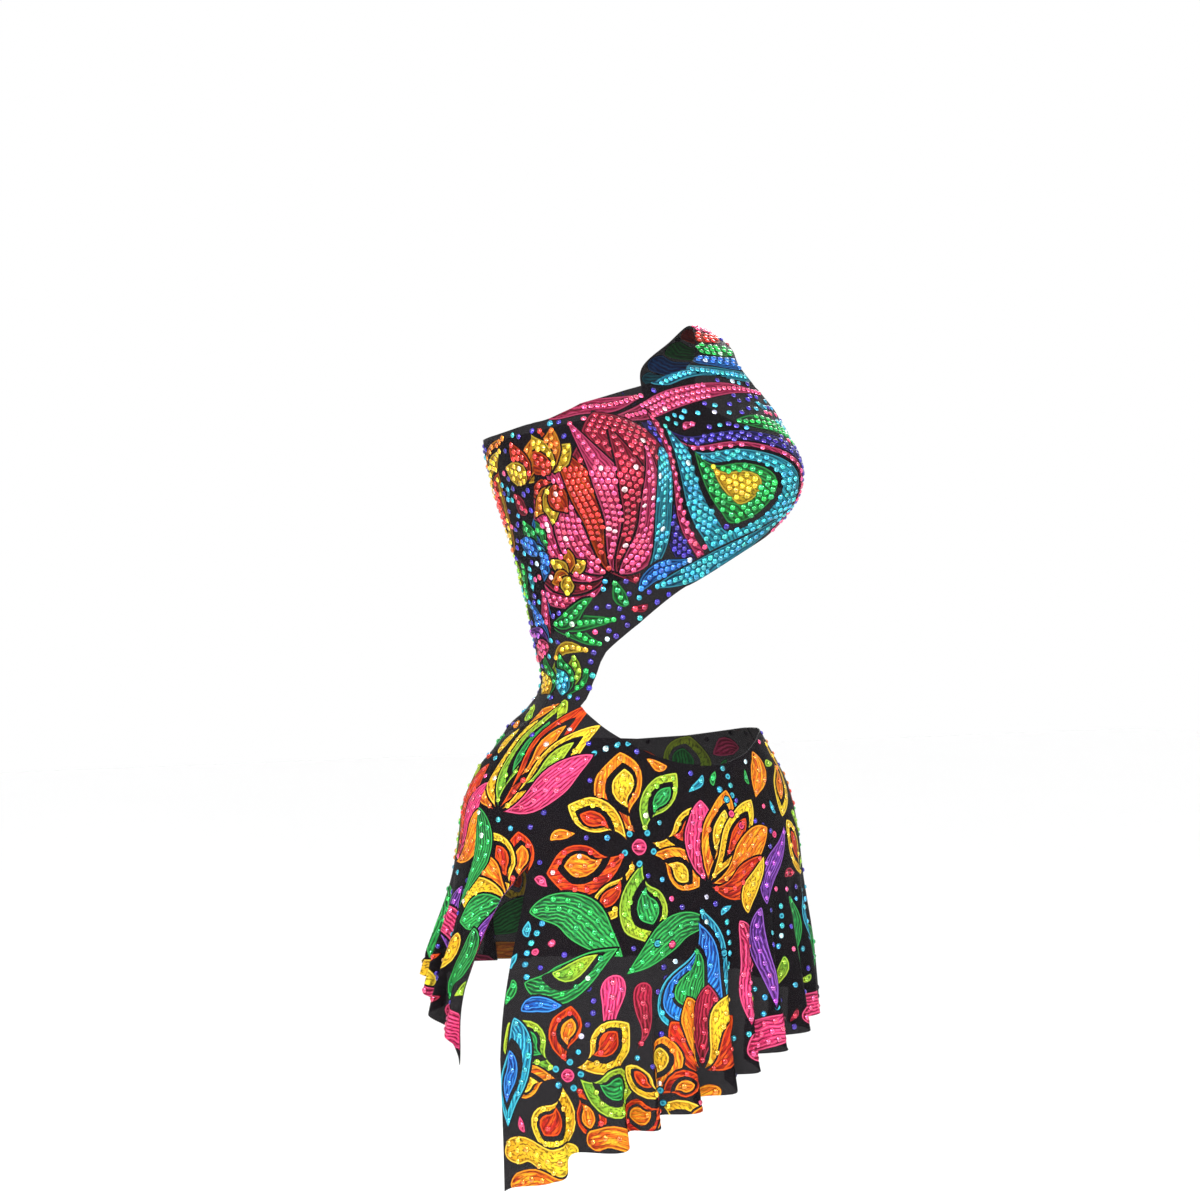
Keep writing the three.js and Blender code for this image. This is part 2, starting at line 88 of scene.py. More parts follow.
# Edges, as rows of home angle and height.
BODICE_FRONT_TOP = [
    (-86, 255), (-71, 258), (-57, 264), (-45, 270), (-31, 279), (-19, 288), (-8, 297),
    (5, 312), (40.5, 300), (47, 287), (55, 276), (65, 267), (76, 261), (88, 258),
]
BODICE_FRONT_BOTTOM = [
    (-86, -3), (-56, -14), (-54, 8), (-48, 27), (-42.5, 38), (-32, 52), (-22, 66), (-11, 84),
    (0, 102), (12, 118), (26, 137), (36, 150), (44, 164), (54, 184), (66, 198), (88, 208),
]
BODICE_BACK_TOP = [
    (88, 258), (97, 263), (107, 271), (118, 282), (128, 292), (158, 300), (170, 285),
    (184, 272), (200, 260), (220, 250), (240, 245), (252, 245), (264, 249), (274, 255),
]
BODICE_BACK_BOTTOM = [
    (88, 208), (106, 200), (120, 185), (135, 163), (150, 138), (165, 114), (180, 92),
    (195, 72), (210, 54), (222, 38), (231, 18), (235, -8), (274, -3),
]
SKIRT_TOP = [
    (-86, -3), (-56, -14), (-50, -20), (-42, -27), (-28.5, -40), (-18.5, -50), (-10, -60),
    (0, -69), (8, -73), (17, -71), (28, -64), (40, -54), (49, -47), (60, -43), (75, -42),
    (88, -43), (110, -48), (135, -54), (160, -57), (185, -54), (205, -45), (222, -28),
    (235, -8), (274, -3),
]
HEM_BEHIND_SLIT = [(-86, -305), (-70, -326), (-58, -338), (-54, -356)]
HEM_BEFORE_SLIT = [
    (-54, -464), (-43, -438), (-29, -424), (-12, -406), (-4, -394), (6, -382), (14, -366),
    (21, -350), (32, -338), (46, -328), (60, -318), (88, -312),
]
HEM_BACK = [
    (88, -312), (120, -303), (155, -294), (190, -286), (225, -280), (255, -282), (274, -305),
]
# Seams and the slit's edges, as rows of height and angle.
BODICE_RIGHT_SEAM = [(-3, -86), (70, -81), (160, -78), (210, -70), (255, -64)]
SEAM_GIVES_TO_FRONT, SEAM_GIVES_TO_BACK = -40.0, 232.0
SLIT_TOP, SLIT_ANGLE = -160.0, -54.0
SLIT_FRONT_EDGE = [(-480, -65.5), (-340, -64), (-290, -61.5), (-210, -56.5), (-160, -54)]
SLIT_BACK_EDGE = [(-360, -90), (-280, -82), (-216, -71), (-190, -65), (-177, -60), (-160, -54)]
RIGHT_SEAM_FALL = [(-360, -110), (-280, -103), (-216, -94), (-160, -86)]
LEFT_SEAM_FALL = [(0, LEFT_SEAM)]
# Where each flute ends and how deep it is at the hem.
FLUTES_BEHIND_SLIT = [(-70, 24), (-54, 20)]
FLUTES_BEFORE_SLIT = [
    (-29, 17), (-12, 24), (-4, 20), (6, 22), (14, 22), (21, 24), (32, 26), (46, 26), (60, 26),
    (74, 28), (88, 25),
]
FLUTES_BACK = [
    (103, 27), (120, 24), (135, 28), (152, 25), (167, 28), (184, 24), (200, 27), (215, 24),
    (232, 28), (247, 25), (261, 28), (274, 24),
]
FLUTE_START = [
    (-86, -165), (-54, -290), (-30, -285), (-10, -240), (15, -185), (40, -160), (274, -165),
]
FLUTE_LEAN, FLUTE_SINK, FLUTE_REACH, HEM_STEP = 0.42, 9.0, 1.25, 0.7

# The strap: its roots' home angles at the neck and the arm edge, and its edges over the shoulder.
STRAP_FRONT_ROOT, STRAP_BACK_ROOT = (5.0, 40.5), (158.0, 128.0)
STRAP_NECK_EDGE = [(37, -55, 326), (54, -31, 347), (69, 5, 367), (66, 38, 353), (50, 66, 328)]
STRAP_ARM_EDGE = [(91, -55, 321), (99, -29, 341), (110, 6, 351), (114, 38, 339), (112, 62, 316)]
STRAP_END, STRAP_CROWN, STRAP_RUN_IN, STRAP_STEP = 6.0, 3.0, 26.0, 34.0

# Soft creases in each panel's cloth: from across, height to across, height, half width, depth.
CREASES = {
    "bodice_front": [
        (-148, 22, -116, 30, 4.5, 1.6), (-154, 46, -110, 58, 5.0, 1.9), (-156, 68, -104, 86, 4.5, -1.5),
        (-160, 88, -120, 104, 4.5, 1.9), (-168, 108, -126, 132, 5.0, 1.7), (-180, 132, -148, 156, 4.5, 1.4),
        (-196, 160, -172, 182, 5.0, 1.2), (-118, 22, -70, 84, 7.0, 1.3), (-66, 112, 4, 128, 8.0, 1.1),
        (66, 168, 132, 196, 9.0, 1.4), (40, 300, 70, 330, 7.0, -1.2), (150, 250, 200, 238, 8.0, 1.1),
    ],
    "bodice_back": [
        (150, 22, 112, 34, 4.5, 1.7), (158, 48, 116, 60, 5.0, 1.9), (160, 72, 112, 88, 4.5, -1.4),
        (168, 94, 126, 112, 5.0, 1.8), (182, 120, 140, 138, 5.0, 1.6), (208, 150, 172, 162, 5.0, 1.4),
        (96, 40, 56, 96, 7.0, 1.3), (-196, 232, -150, 252, 7.0, 1.2), (-100, 300, -70, 270, 7.0, -1.2),
        (-40, 180, 40, 132, 10.0, 1.4), (20, 250, 90, 232, 9.0, 1.2),
    ],
    "skirt_front": [
        (-150, -24, -118, -52, 7.0, 1.6), (-136, -14, -96, -40, 6.0, -1.3), (-176, -60, -140, -100, 8.0, 1.5),
        (-72, -150, -20, -132, 7.0, 1.4), (-60, -172, 0, -186, 8.0, 1.2), (-88, -170, -130, -184, 6.0, 1.3),
        (20, -96, 90, -112, 10.0, 1.1), (180, -60, 244, -92, 9.0, 1.3), (200, -110, 262, -150, 9.0, -1.2),
    ],
    "skirt_back": [
        (140, -20, 118, -54, 7.0, 1.6), (160, -24, 150, -70, 7.0, -1.3), (184, -60, 150, -96, 8.0, 1.4),
        (-190, -60, -150, -92, 9.0, 1.4), (-60, -84, 20, -96, 11.0, 1.3), (60, -74, 116, -108, 9.0, 1.2),
        (-120, -76, -90, -120, 9.0, -1.2), (-212, -110, -170, -136, 9.0, 1.3),
    ],
}


def line_through(rows, place):
    return np.interp(place, *np.array(rows, float).T)


def curve_through(rows, place):
    x, y = np.array(rows, float).T
    at = np.clip(place, x[0], x[-1])
    i = np.searchsorted(x[1:-1], at)
    k = np.arange(len(x))
    before, after = np.maximum(k - 1, 0), np.minimum(k + 1, len(x) - 1)
    slope = (y[after] - y[before]) / (x[after] - x[before])
    span = x[i + 1] - x[i]
    s = (at - x[i]) / span
    start = (2 * s**3 - 3 * s**2 + 1) * y[i] + (s**3 - 2 * s**2 + s) * span * slope[i]
    return start + (3 * s**2 - 2 * s**3) * y[i + 1] + (s**3 - s**2) * span * slope[i + 1]


def smooth_step(low, high, value):
    s = np.clip((value - low) / (high - low), 0, 1)
    return s * s * (3 - 2 * s)


def signed_power(value, power):
    return np.sign(value) * np.abs(value) ** power


def section_point(angle, height, extra=0.0):
    """A point of a section of the figure, grown by extra."""
    across, ahead = np.sin(np.radians(angle)), np.cos(np.radians(angle))
    width = curve_through(HALF_WIDTH, height) + extra
    depth = np.where(ahead > 0, curve_through(FRONT, height), curve_through(BACK, height)) + extra
    x = curve_through(SHIFT, height) + width * signed_power(across, 2 / ROUNDNESS)
    return np.stack([x, -depth * signed_power(ahead, 2 / ROUNDNESS), height + 0 * x], -1)


def figure_point(angle, height):
    """A point of the fitted garment: the section with the two cups over it."""
    point = section_point(angle, height)
    facing = np.sqrt(np.maximum(np.cos(np.radians(angle)), 0))
    for side in (-1, 1):
        beside = (point[..., 0] - side * CUP_SIDE) / CUP_WIDTH
        above = (height - CUP_HEIGHT) / CUP_REACH
        swelling = facing * np.exp(-(beside**2) - above**2)
        point[..., 1] -= CUP_DEPTH * swelling
        point[..., 0] += side * CUP_SPREAD * swelling
    return point


def bodice_point(home, height, first, last):
    """A point of a bodice panel, between its seams, of which the right one leans forward."""
    middle = (first + last) / 2
    share = (home - middle) / (last - middle)
    front = np.interp(home, [RIGHT_SEAM, SEAM_GIVES_TO_FRONT], [1, 0])
    back = np.interp(home, [SEAM_GIVES_TO_BACK, RIGHT_SEAM_BACK], [0, 1])
    shift = curve_through(BODICE_RIGHT_SEAM, height) - RIGHT_SEAM
    inset = np.degrees(SEAM_CLOSE / curve_through(HALF_WIDTH, height))
    return figure_point(home + shift * np.where(home < LEFT_SEAM, front, back) - share * inset, height)


def path_point(points, t):
    """The centripetal curve through points, at the shares t of its run."""
    points = np.asarray(points, float)
    n = len(points)
    p = np.asarray(t, float) * (n - 1)
    i = np.clip(np.floor(p).astype(int), 0, n - 2)
    w = (p - i)[..., None]
    ends = np.vstack([2 * points[0] - points[1], points, 2 * points[-1] - points[-2]])
    p0, p1, p2, p3 = (ends[i + k] for k in range(4))
    d0, d1, d2 = (
        np.maximum(np.sum((b - a) ** 2, -1, keepdims=True) ** 0.25, 1e-4)
        for a, b in ((p0, p1), (p1, p2), (p2, p3))
    )
    t1 = ((p1 - p0) / d0 - (p2 - p0) / (d0 + d1) + (p2 - p1) / d1) * d1
    t2 = ((p2 - p1) / d1 - (p3 - p1) / (d1 + d2) + (p3 - p2) / d2) * d1
    return p1 + t1 * w + (-3 * p1 + 3 * p2 - 2 * t1 - t2) * w**2 + (2 * p1 - 2 * p2 + t1 + t2) * w**3


def strap_point(across, along):
    """A point of the strap: across 0 is its neck edge and 1 its arm edge, along counts sections."""
    a = across[..., None]

    def edge_point(side, middle):
        f, b = np.array(STRAP_FRONT_ROOT[side]), np.array(STRAP_BACK_ROOT[side])
        low, high = curve_through(BODICE_FRONT_TOP, f), curve_through(BODICE_BACK_TOP, b)
        points = np.vstack([
            figure_point(f, low - STRAP_RUN_IN), figure_point(f, low), middle,
            figure_point(b, high), figure_point(b, high - STRAP_RUN_IN),
        ])
        return path_point(points, (along + 1) / (len(points) - 1))

    def root_curve(root, top):
        def at(share):
            low, high = curve_through(top, root[0]), curve_through(top, root[1])
            return figure_point(root[0] + (root[1] - root[0]) * share, low + (high - low) * share)
        return at(across) - at(0 * across) * (1 - a) - at(0 * across + 1) * a

    point = edge_point(0, STRAP_NECK_EDGE) * (1 - a) + edge_point(1, STRAP_ARM_EDGE) * a
    # Near its roots the strap keeps the curve that the panel has there.
    front = 1 - smooth_step(0, 2, along)
    back = smooth_step(STRAP_END - 2, STRAP_END, along)
    point = point + root_curve(STRAP_FRONT_ROOT, BODICE_FRONT_TOP) * front[..., None]
    point = point + root_curve(STRAP_BACK_ROOT, BODICE_BACK_TOP) * back[..., None]
    turn = math.pi * along / STRAP_END
    crown = STRAP_CROWN * 4 * across * (1 - across) * (1 - front - back)
    return point + np.stack([0 * crown, -np.cos(turn) * crown, np.sin(turn) * crown], -1)


# A run of the skirt: its hem, its flutes, its first and last home angle, and where those two lie.
RUN_BEHIND = (
    HEM_BEHIND_SLIT, FLUTES_BEHIND_SLIT, RIGHT_SEAM, SLIT_ANGLE, RIGHT_SEAM_FALL, SLIT_BACK_EDGE,
)
RUN_BEFORE = (
    HEM_BEFORE_SLIT, FLUTES_BEFORE_SLIT, SLIT_ANGLE, LEFT_SEAM, SLIT_FRONT_EDGE, LEFT_SEAM_FALL,
)
RUN_BACK = (
    HEM_BACK, FLUTES_BACK, LEFT_SEAM, RIGHT_SEAM_BACK, LEFT_SEAM_FALL,
    [(height, 360 + angle) for height, angle in RIGHT_SEAM_FALL],
)


def flute_at(run, home):
    """The start, end and depth of the flute that a home angle lies in, and how far across it is."""
    ends, depths = np.array(run[1], float).T
    i = np.clip(np.searchsorted(ends, home), 0, len(ends) - 1)
    starts = np.concatenate([[run[2]], ends[:-1]])
    return starts[i], ends[i], depths[i], (home - starts[i]) / (ends[i] - starts[i])


def hem_height(run, home):
    """Height of the hem, which drops by steps where the flutes hang over."""
    start, end, _, across = flute_at(run, home)
    share = across - HEM_STEP * (1 - np.cos(2 * np.pi * across)) / (2 * np.pi)
    a, b = line_through(run[0], start), line_through(run[0], end)
    return a + (b - a) * share + line_through(run[0], home) - (a + (b - a) * across)


def skirt_point(home, height, run):
    _, _, first, last, first_edge, last_edge = run
    start, end, depth, across = flute_at(run, home)
    begin = line_through(FLUTE_START, home)
    fall = smooth_step(0, FLUTE_REACH, (begin - height) / (begin - hem_height(run, home)))
    crest = (1 - np.cos(2 * np.pi * across)) / 2
    leaning = start + (end - start) * (across + FLUTE_LEAN * fall * crest)
    share = (leaning - first) / (last - first)
    a, b = line_through(first_edge, height), line_through(last_edge, height)
    return section_point(a + (b - a) * share, height, fall * (depth * crest - FLUTE_SINK))


# The cloth

CLOTH_HALF = 0.4        # half the wall of the mesh cloth
SEAM_SINK, SEAM_REACH = 0.55, 1.7       # how far a seam pulls the cloth in, and how widely
EDGE_STEP, HOME_STEP, HEM_HOME_STEP = 3.0, 1.6, 0.7     # between the points along an outline
ROW_STEP = 5.0          # spacing of the inner points
FLUTE_COLUMNS, USUAL_FLUTE = 15, 14     # columns of points in a flute of so many degrees
MARK_CLEAR, POINT_CLEAR = 0.8, 1.5      # how far strokes' and other inner points keep from the rest
DEGREE = 2.7            # millimetres of the cutting chart to a degree
SLIT_HALF = 0.012       # half the angle cut out of the print chart at the slit, degrees
HIGH_PANEL = -50.0      # a panel that ends above this height is a bodice's
CHART_HOME, CHART_HEIGHT = 0.5, 2.0     # steps of the scale that across is measured on
NUDGE_HOME, NUDGE_HEIGHT = 0.15, 0.4    # how far apart slopes are measured


def bodice(top, root, first, last, start, way):
    """The surface of a bodice panel, with the half of the strap that grows out of its top edge."""
    def surface(home, height):
        rise = height - curve_through(top, home)
        on_strap = (rise > 0) & (home >= min(root) - 0.01) & (home <= max(root) + 0.01)
        along = start + way * np.where(on_strap, rise / STRAP_STEP, 0)
        strap = strap_point((home - root[0]) / (root[1] - root[0]), along)
        return np.where(on_strap[..., None], strap, bodice_point(home, height, first, last))
    return surface


def skirt_front(home, height):
    behind = skirt_point(np.minimum(home, SLIT_ANGLE), height, RUN_BEHIND)
    before = skirt_point(np.maximum(home, SLIT_ANGLE), height, RUN_BEFORE)
    return np.where((home < SLIT_ANGLE)[..., None], behind, before)


def skirt_back(home, height):
    return skirt_point(home, height, RUN_BACK)


def run_along(start, end, step=EDGE_STEP):
    return np.linspace(start, end, max(2, int(abs(end - start) / step) + 1))


def edge(homes, heights):
    return np.stack(np.broadcast_arrays(np.asarray(homes, float), np.asarray(heights, float)), 1)


def closed(*parts):
    """One loop of all the parts, without the points that two of them share."""
    loop = np.vstack(parts)
    return loop[np.any(loop != np.roll(loop, -1, 0), axis=1)]


def bodice_outline(first, last, top, bottom, root):
    """Round a bodice panel: along its top with the strap, down a side, below and up a side."""
    before, across = run_along(last, max(root), HOME_STEP), run_along(max(root), min(root), HOME_STEP)
    after, low = run_along(min(root), first, HOME_STEP), run_along(first, last, HOME_STEP)
    up = run_along(0, STRAP_END / 2 * STRAP_STEP - SEAM_CLOSE)
    joined = (low <= CUT_OUT_FRONT) | (low >= CUT_OUT_BACK)
    under = line_through(bottom, low) + np.where(joined, SEAM_CLOSE, 0)
    return closed(
        edge(before, curve_through(top, before)),
        edge(across[0], curve_through(top, across[0]) + up),
        edge(across, curve_through(top, across) + up[-1]),
        edge(across[-1], curve_through(top, across[-1]) + up[::-1]),
        edge(after, curve_through(top, after)),
        edge(first, run_along(curve_through(top, first), under[0])),
        edge(low, under),
        edge(last, run_along(under[-1], curve_through(top, last))),
    )


def skirt_outline(first, last, hems):
    """Round a skirt panel: along its top, down a side, along its hems and up a side."""
    top = run_along(first, last, HOME_STEP)
    high = line_through(SKIRT_TOP, top) - SEAM_CLOSE
    parts = [edge(top, high)]
    reached = high[-1]
    for run, start, end in hems:
        homes = run_along(start, end, HEM_HOME_STEP)
        low = hem_height(run, homes)
        parts += [edge(start, run_along(reached, low[0])), edge(homes, low)]
        if end < SLIT_ANGLE:
            reached = SLIT_TOP - 1
            parts += [edge(end, run_along(low[-1], reached)), edge(SLIT_ANGLE, [SLIT_TOP])]
    return closed(*parts, edge(first, run_along(low[-1], high[0])))


def flute_columns(run):
    """Home angles that divide each flute evenly."""
    ends = [run[2]] + [flute[0] for flute in run[1]]
    return np.concatenate([
        np.linspace(a, b, max(4, round(FLUTE_COLUMNS * (b - a) / USUAL_FLUTE)), endpoint=False)
        for a, b in zip(ends, ends[1:])
    ])


def cell_of(place, first, step, count):
    """Which cell of an even scale a place lies in, and how far across the cell."""
    at = np.clip((np.asarray(place, float) - first) / step, 0, count - 1.000001)
    low = at.astype(int)
    return low, at - low


class Panel:
    """One cut piece: its surface, its outline and the chart that its print is drawn on."""

    def __init__(self, node, surface, first, last, middle, outline, columns, heights, seams):
        self.node, self.name = node, node + "_cloth"
        self.surface, self.outline = surface, outline
        self.first, self.last, self.columns, self.seams = first, last, columns, seams
        self.homes = np.arange(first, last + 0.01, CHART_HOME)
        self.heights = np.arange(heights[0], heights[1] + 0.01, CHART_HEIGHT)
        points = surface(*np.meshgrid(self.homes, self.heights))
        steps = np.linalg.norm(np.diff(points, axis=1), axis=2)
        runs = np.pad(np.cumsum(steps, 1), ((0, 0), (1, 0)))
        self.runs = runs - runs[:, [int(np.argmin(abs(self.homes - middle)))]]

    def row(self, height):
        return cell_of(height, self.heights[0], CHART_HEIGHT, len(self.heights))

    def across(self, home, height):
        """How far along the cloth a cut place lies from the panel's middle line."""
        low, up = self.row(height)
        left, part = cell_of(home, self.first, CHART_HOME, len(self.homes))
        under = self.runs[low, left] * (1 - part) + self.runs[low, left + 1] * part
        over = self.runs[low + 1, left] * (1 - part) + self.runs[low + 1, left + 1] * part
        return under * (1 - up) + over * up

    def home(self, across, height):
        """The home angle of a print place: the opposite of across, and evenly on past the sides."""
        found = []
        for at, low, up in zip(across, *self.row(height)):
            row = self.runs[low] * (1 - up) + self.runs[low + 1] * up
            past = min(at - row[0], 0) + max(at - row[-1], 0)
            found.append(np.interp(at, row, self.homes) + past / DEGREE)
        return np.array(found)

    def anchor_across(self, mark, height):
        """How far across the home angle of a motif's anchor lies at other heights."""
        return self.across(self.home(mark.anchor[:1], mark.anchor[1:]), height)

    def chart(self, places, mark):
        """Cutting places, as degrees in even millimetres and height, of a motif's print places."""
        across, height = places.T
        across = across - mark.anchor[0] + self.anchor_across(mark, height)
        return np.stack([self.home(across, height) * DEGREE, height], 1)

    def motif_places(self, home, height, mark):
        """Where cut places lie in a motif's own chart: the opposite of chart."""
        across = self.across(home, height) - self.anchor_across(mark, height) + mark.anchor[0]
        return np.stack([across, height], 1)

    def print_place(self, place):
        return np.array([self.across(place[0] / DEGREE, place[1]), place[1]])

    def limits(self, home):
        return self.first, self.last

    def relief(self, home, height):
        """How far creases and seams move the cloth out or in."""
        across = self.across(home, height)
        offset = np.zeros(np.shape(home))
        for x, y, end_x, end_y, width, depth in CREASES[self.node]:
            run = np.array([end_x - x, end_y - y], float)
            share = ((across - x) * run[0] + (height - y) * run[1]) / np.hypot(*run) ** 2
            share = np.clip(share, 0, 1)
            away = np.hypot(across - x - share * run[0], height - y - share * run[1])
            fade = np.sin(np.pi * share) ** 0.7
            offset = offset + depth * fade * np.exp(-((away / width) ** 2))
        for seam in self.seams:
            away = seam(self, home, height, across)
            offset = offset - SEAM_SINK * np.exp(-((away / SEAM_REACH) ** 2))
        return offset

    def frame(self, home, height):
        """Points of the cloth's middle, its outward normals and its sideways directions."""
        def unit(vectors):
            return vectors / np.linalg.norm(vectors, axis=-1, keepdims=True)

        low, high = self.limits(home)
        left, right = np.maximum(home - NUDGE_HOME, low), np.minimum(home + NUDGE_HOME, high)
        over, under = height + NUDGE_HEIGHT, height - NUDGE_HEIGHT
        side = unit(self.surface(right, height) - self.surface(left, height))
        rise = unit(self.surface(home, over) - self.surface(home, under))
        normal = unit(np.cross(side, rise))
        wide = np.maximum(self.across(right, height) - self.across(left, height), 0.05)
        slope_side = (self.relief(right, height) - self.relief(left, height)) / wide
        slope_rise = (self.relief(home, over) - self.relief(home, under)) / (2 * NUDGE_HEIGHT)
        bent = unit(normal - slope_side[..., None] * side - slope_rise[..., None] * rise)
        return self.surface(home, height) + normal * self.relief(home, height)[..., None], bent, side


class SlitPanel(Panel):
    """The front of the skirt, which the slit parts in two below its top."""

    def limits(self, home):
        behind = home < SLIT_ANGLE
        low = np.where(behind, self.first, SLIT_ANGLE)
        return low, np.where(behind, SLIT_ANGLE - SLIT_HALF / 2, self.last)


# Each seam gives how far places of a panel lie from it.

def left_seam(panel, home, height, across):
    return abs(across - panel.across(LEFT_SEAM, height))


def right_seam(panel, home, height, across):
    return abs(across - panel.across(panel.first if panel.first < 0 else panel.last, height))


def waist_seam(panel, home, height, across):
    turned = np.where(home > 180, home - 360, home)
    seam = np.interp(turned, [CUT_OUT_BACK - 360, RIGHT_SEAM, CUT_OUT_FRONT], [-8, -3, -14])
    joined = (turned > CUT_OUT_BACK - 360) & (turned < CUT_OUT_FRONT)
    return np.where(joined, abs(height - seam), 99)


def crest_seam(panel, home, height, across):
    top = BODICE_FRONT_TOP if panel.first < 0 else BODICE_BACK_TOP
    return abs(height - curve_through(top, home) - STRAP_STEP * STRAP_END / 2)


# The print

GAP, NESTED_GAP, DOT_GAP = 2.2, 0.2, 1.2        # black left round a stroke, a nested one and a dot
SWAY = 0.045            # how far a bowed spine sways either side, by its length
SPINE_STEP, FEWEST_STEPS, MOST_STEPS = 3.6, 11, 38
THINNEST = 0.2
NEST = (1.0, 0.66, 0.46)        # sizes of a petal's nested strokes
RINGS = (1.0, 0.88, 0.80, 0.52, 0.44, 0.24)     # and of a banded drop's
# A blossom's petals: the reach and half width of wide and slim ones, and the usual count.
WIDE_PETAL, SLIM_PETAL, USUAL_PETALS = (1.0, 0.31), (0.86, 0.21), 6.5
PETAL_ROOT, HEART, HEART_RING = 0.16, 0.085, 0.17       # from a blossom's centre, by its reach
HEART_DOTS, HEART_DOT_SIZE, LOOSE_DOT_SIZE = 5, 3.2, 3.5
ROW_DOT_SIZE, ROW_DOT_STEP = 3.0, 10.5
FILL_CELL, FILL_BOW = 2.0, 0.22         # of the small leaves that fill bare cloth
LINES, FLECKS, FLAMES = 1.0, 2.0, 3.0   # kinds of hatch

# Each ink: its hatch, and in percent where a stroke starts, where it ends, its edge, its stones.
INKS = {
    "yellow": (FLECKS, (62, 28, 1), (74, 56, 3), (86, 68, 7), (82, 50, 2)),
    "orange": (FLAMES, (42, 3, 1), (80, 20, 1), (86, 36, 2), (86, 20, 1)),
    "red": (FLAMES, (16, 1, 1), (52, 2, 1), (72, 9, 1), (72, 3, 2)),
    "green": (LINES, (1, 8, 3), (2, 28, 6), (5, 46, 9), (1, 42, 8)),
    "lime": (FLECKS, (5, 28, 3), (42, 56, 3), (42, 62, 5), (32, 60, 3)),
    "pink": (LINES, (30, 1, 5), (68, 4, 17), (82, 11, 25), (85, 7, 20)),
    "crimson": (LINES, (9, 1, 1), (32, 1, 4), (46, 4, 8), (55, 2, 6)),
    "aqua": (LINES, (1, 12, 26), (2, 36, 48), (8, 52, 62), (3, 40, 52)),
    "blue": (LINES, (1, 3, 22), (1, 15, 54), (6, 32, 74), (2, 18, 66)),
    "purple": (LINES, (4, 1, 12), (16, 4, 32), (32, 12, 56), (36, 6, 46)),
    "indigo": (LINES, (1, 1, 6), (2, 2, 16), (6, 5, 30), (4, 2, 32)),
}
# Names for inks that are nested, from the outermost in.
NESTS = {
    "sun": "yellow black red",
    "fire": "orange black yellow",
    "fresh": "lime black green",
    "ember": "red black orange",
    "zest": "yellow black lime",
    "grass": "green black lime",
    "pool": "aqua black blue black green",
}


# How wide a stroke is, by its share of the way along.

def leaf(share):
    return np.sin(np.pi * share**0.8) ** 0.85


def drop(share):
    return 1.7 * share**1.2 * np.sqrt(1 - share**4)


def plump(share):
    return np.sin(np.pi * share**1.5) ** 0.8


def disc(share):
    return 2 * np.sqrt(np.maximum(share * (1 - share), 0))


def band(share):
    return np.clip(np.minimum(share, 1 - share) * 7, 0, 1) ** 0.5


def run_of(points):
    """How far along a line each of its points lies."""
    return np.concatenate([[0], np.cumsum(np.linalg.norm(np.diff(points, axis=0), axis=1))])


def towards(angle):
    return np.array([math.cos(angle), math.sin(angle)])


class Stroke:
    """One brush stroke: a spine with a half width along it, in one ink.

    It is drawn in its motif's own flat chart, which meets the panel's at the anchor, so that a
    motif keeps its shape where the cloth flares.
    """

    def __init__(self, spine, width, ink, form=leaf, anchor=None, gap=GAP):
        self.spine, self.ink, self.run = spine, ink, run_of(spine)
        self.anchor = spine[len(spine) // 2] if anchor is None else anchor
        self.length = self.run[-1]
        share = self.run / self.length
        phase = self.anchor[0] * 0.7 + self.anchor[1] * 1.3
        waver = 1 + 0.07 * np.sin(6 * share + phase) + 0.035 * np.sin(14 * share + 2 * phase)
        self.widths = np.maximum(width * waver * form(share), THINNEST)
        self.shape, self.border = self.rim(0), self.rim(gap)

    def sideways(self):
        along = np.gradient(self.spine, axis=0)
        along /= np.linalg.norm(along, axis=1, keepdims=True)
        return along, np.stack([-along[:, 1], along[:, 0]], 1)

    def rim(self, grow):
        """The stroke's outline, grown by so much all round."""
        along, out = self.sideways()
        spine = self.spine.copy()
        spine[0] -= along[0] * grow
        spine[-1] += along[-1] * grow
        out = out * (self.widths[:, None] + grow * 0.9)
        ends = slice(1, -1)
        loop = np.vstack([spine[:1], (spine - out)[ends], spine[-1:], (spine + out)[ends][::-1]])
        return anticlockwise(loop)

    def measure(self, places):
        """Each place's run along the stroke, its offset from the spine and its depth from the rim."""
        start, run = self.spine[:-1], np.diff(self.spine, axis=0)
        gap = places[:, None] - start
        share = np.clip((gap * run).sum(-1) / (run**2).sum(-1), 0, 1)
        far = np.linalg.norm(gap - share[..., None] * run, axis=-1)
        k = far.argmin(1)
        i = np.arange(len(places))
        side = np.sign(run[k, 0] * gap[i, k, 1] - run[k, 1] * gap[i, k, 0])
        along = self.run[k] + share[i, k] * (self.run[k + 1] - self.run[k])
        step = np.roll(self.shape, -1, 0) - self.shape
        to = places[:, None] - self.shape
        t = np.clip((to * step).sum(-1) / np.maximum((step**2).sum(-1), 1e-9), 0, 1)
        depth = np.linalg.norm(to - t[..., None] * step, axis=-1).min(1)
        return along, far[i, k] * side, depth


def eased(length):
    """Shares of a spine, closer together at its ends, as many as its length needs."""
    count = int(np.clip(length / SPINE_STEP, FEWEST_STEPS, MOST_STEPS)) + 1
    return (1 - np.cos(np.pi * np.linspace(0, 1, count))) / 2


def bowed(start, end, bow):
    """A spine from start to end that bows sideways by a share of its length, with a slight S."""
    run = end - start
    side = np.array([-run[1], run[0]])
    middle = (start + end) / 2 + side * bow
    t = eased(np.hypot(*run))[:, None]
    sway = SWAY * np.sign(bow) * np.sin(2 * np.pi * t) * side
    return (1 - t) ** 2 * start + 2 * t * (1 - t) * middle + t**2 * end + sway


# Each maker gives a list of strokes, later ones over earlier.

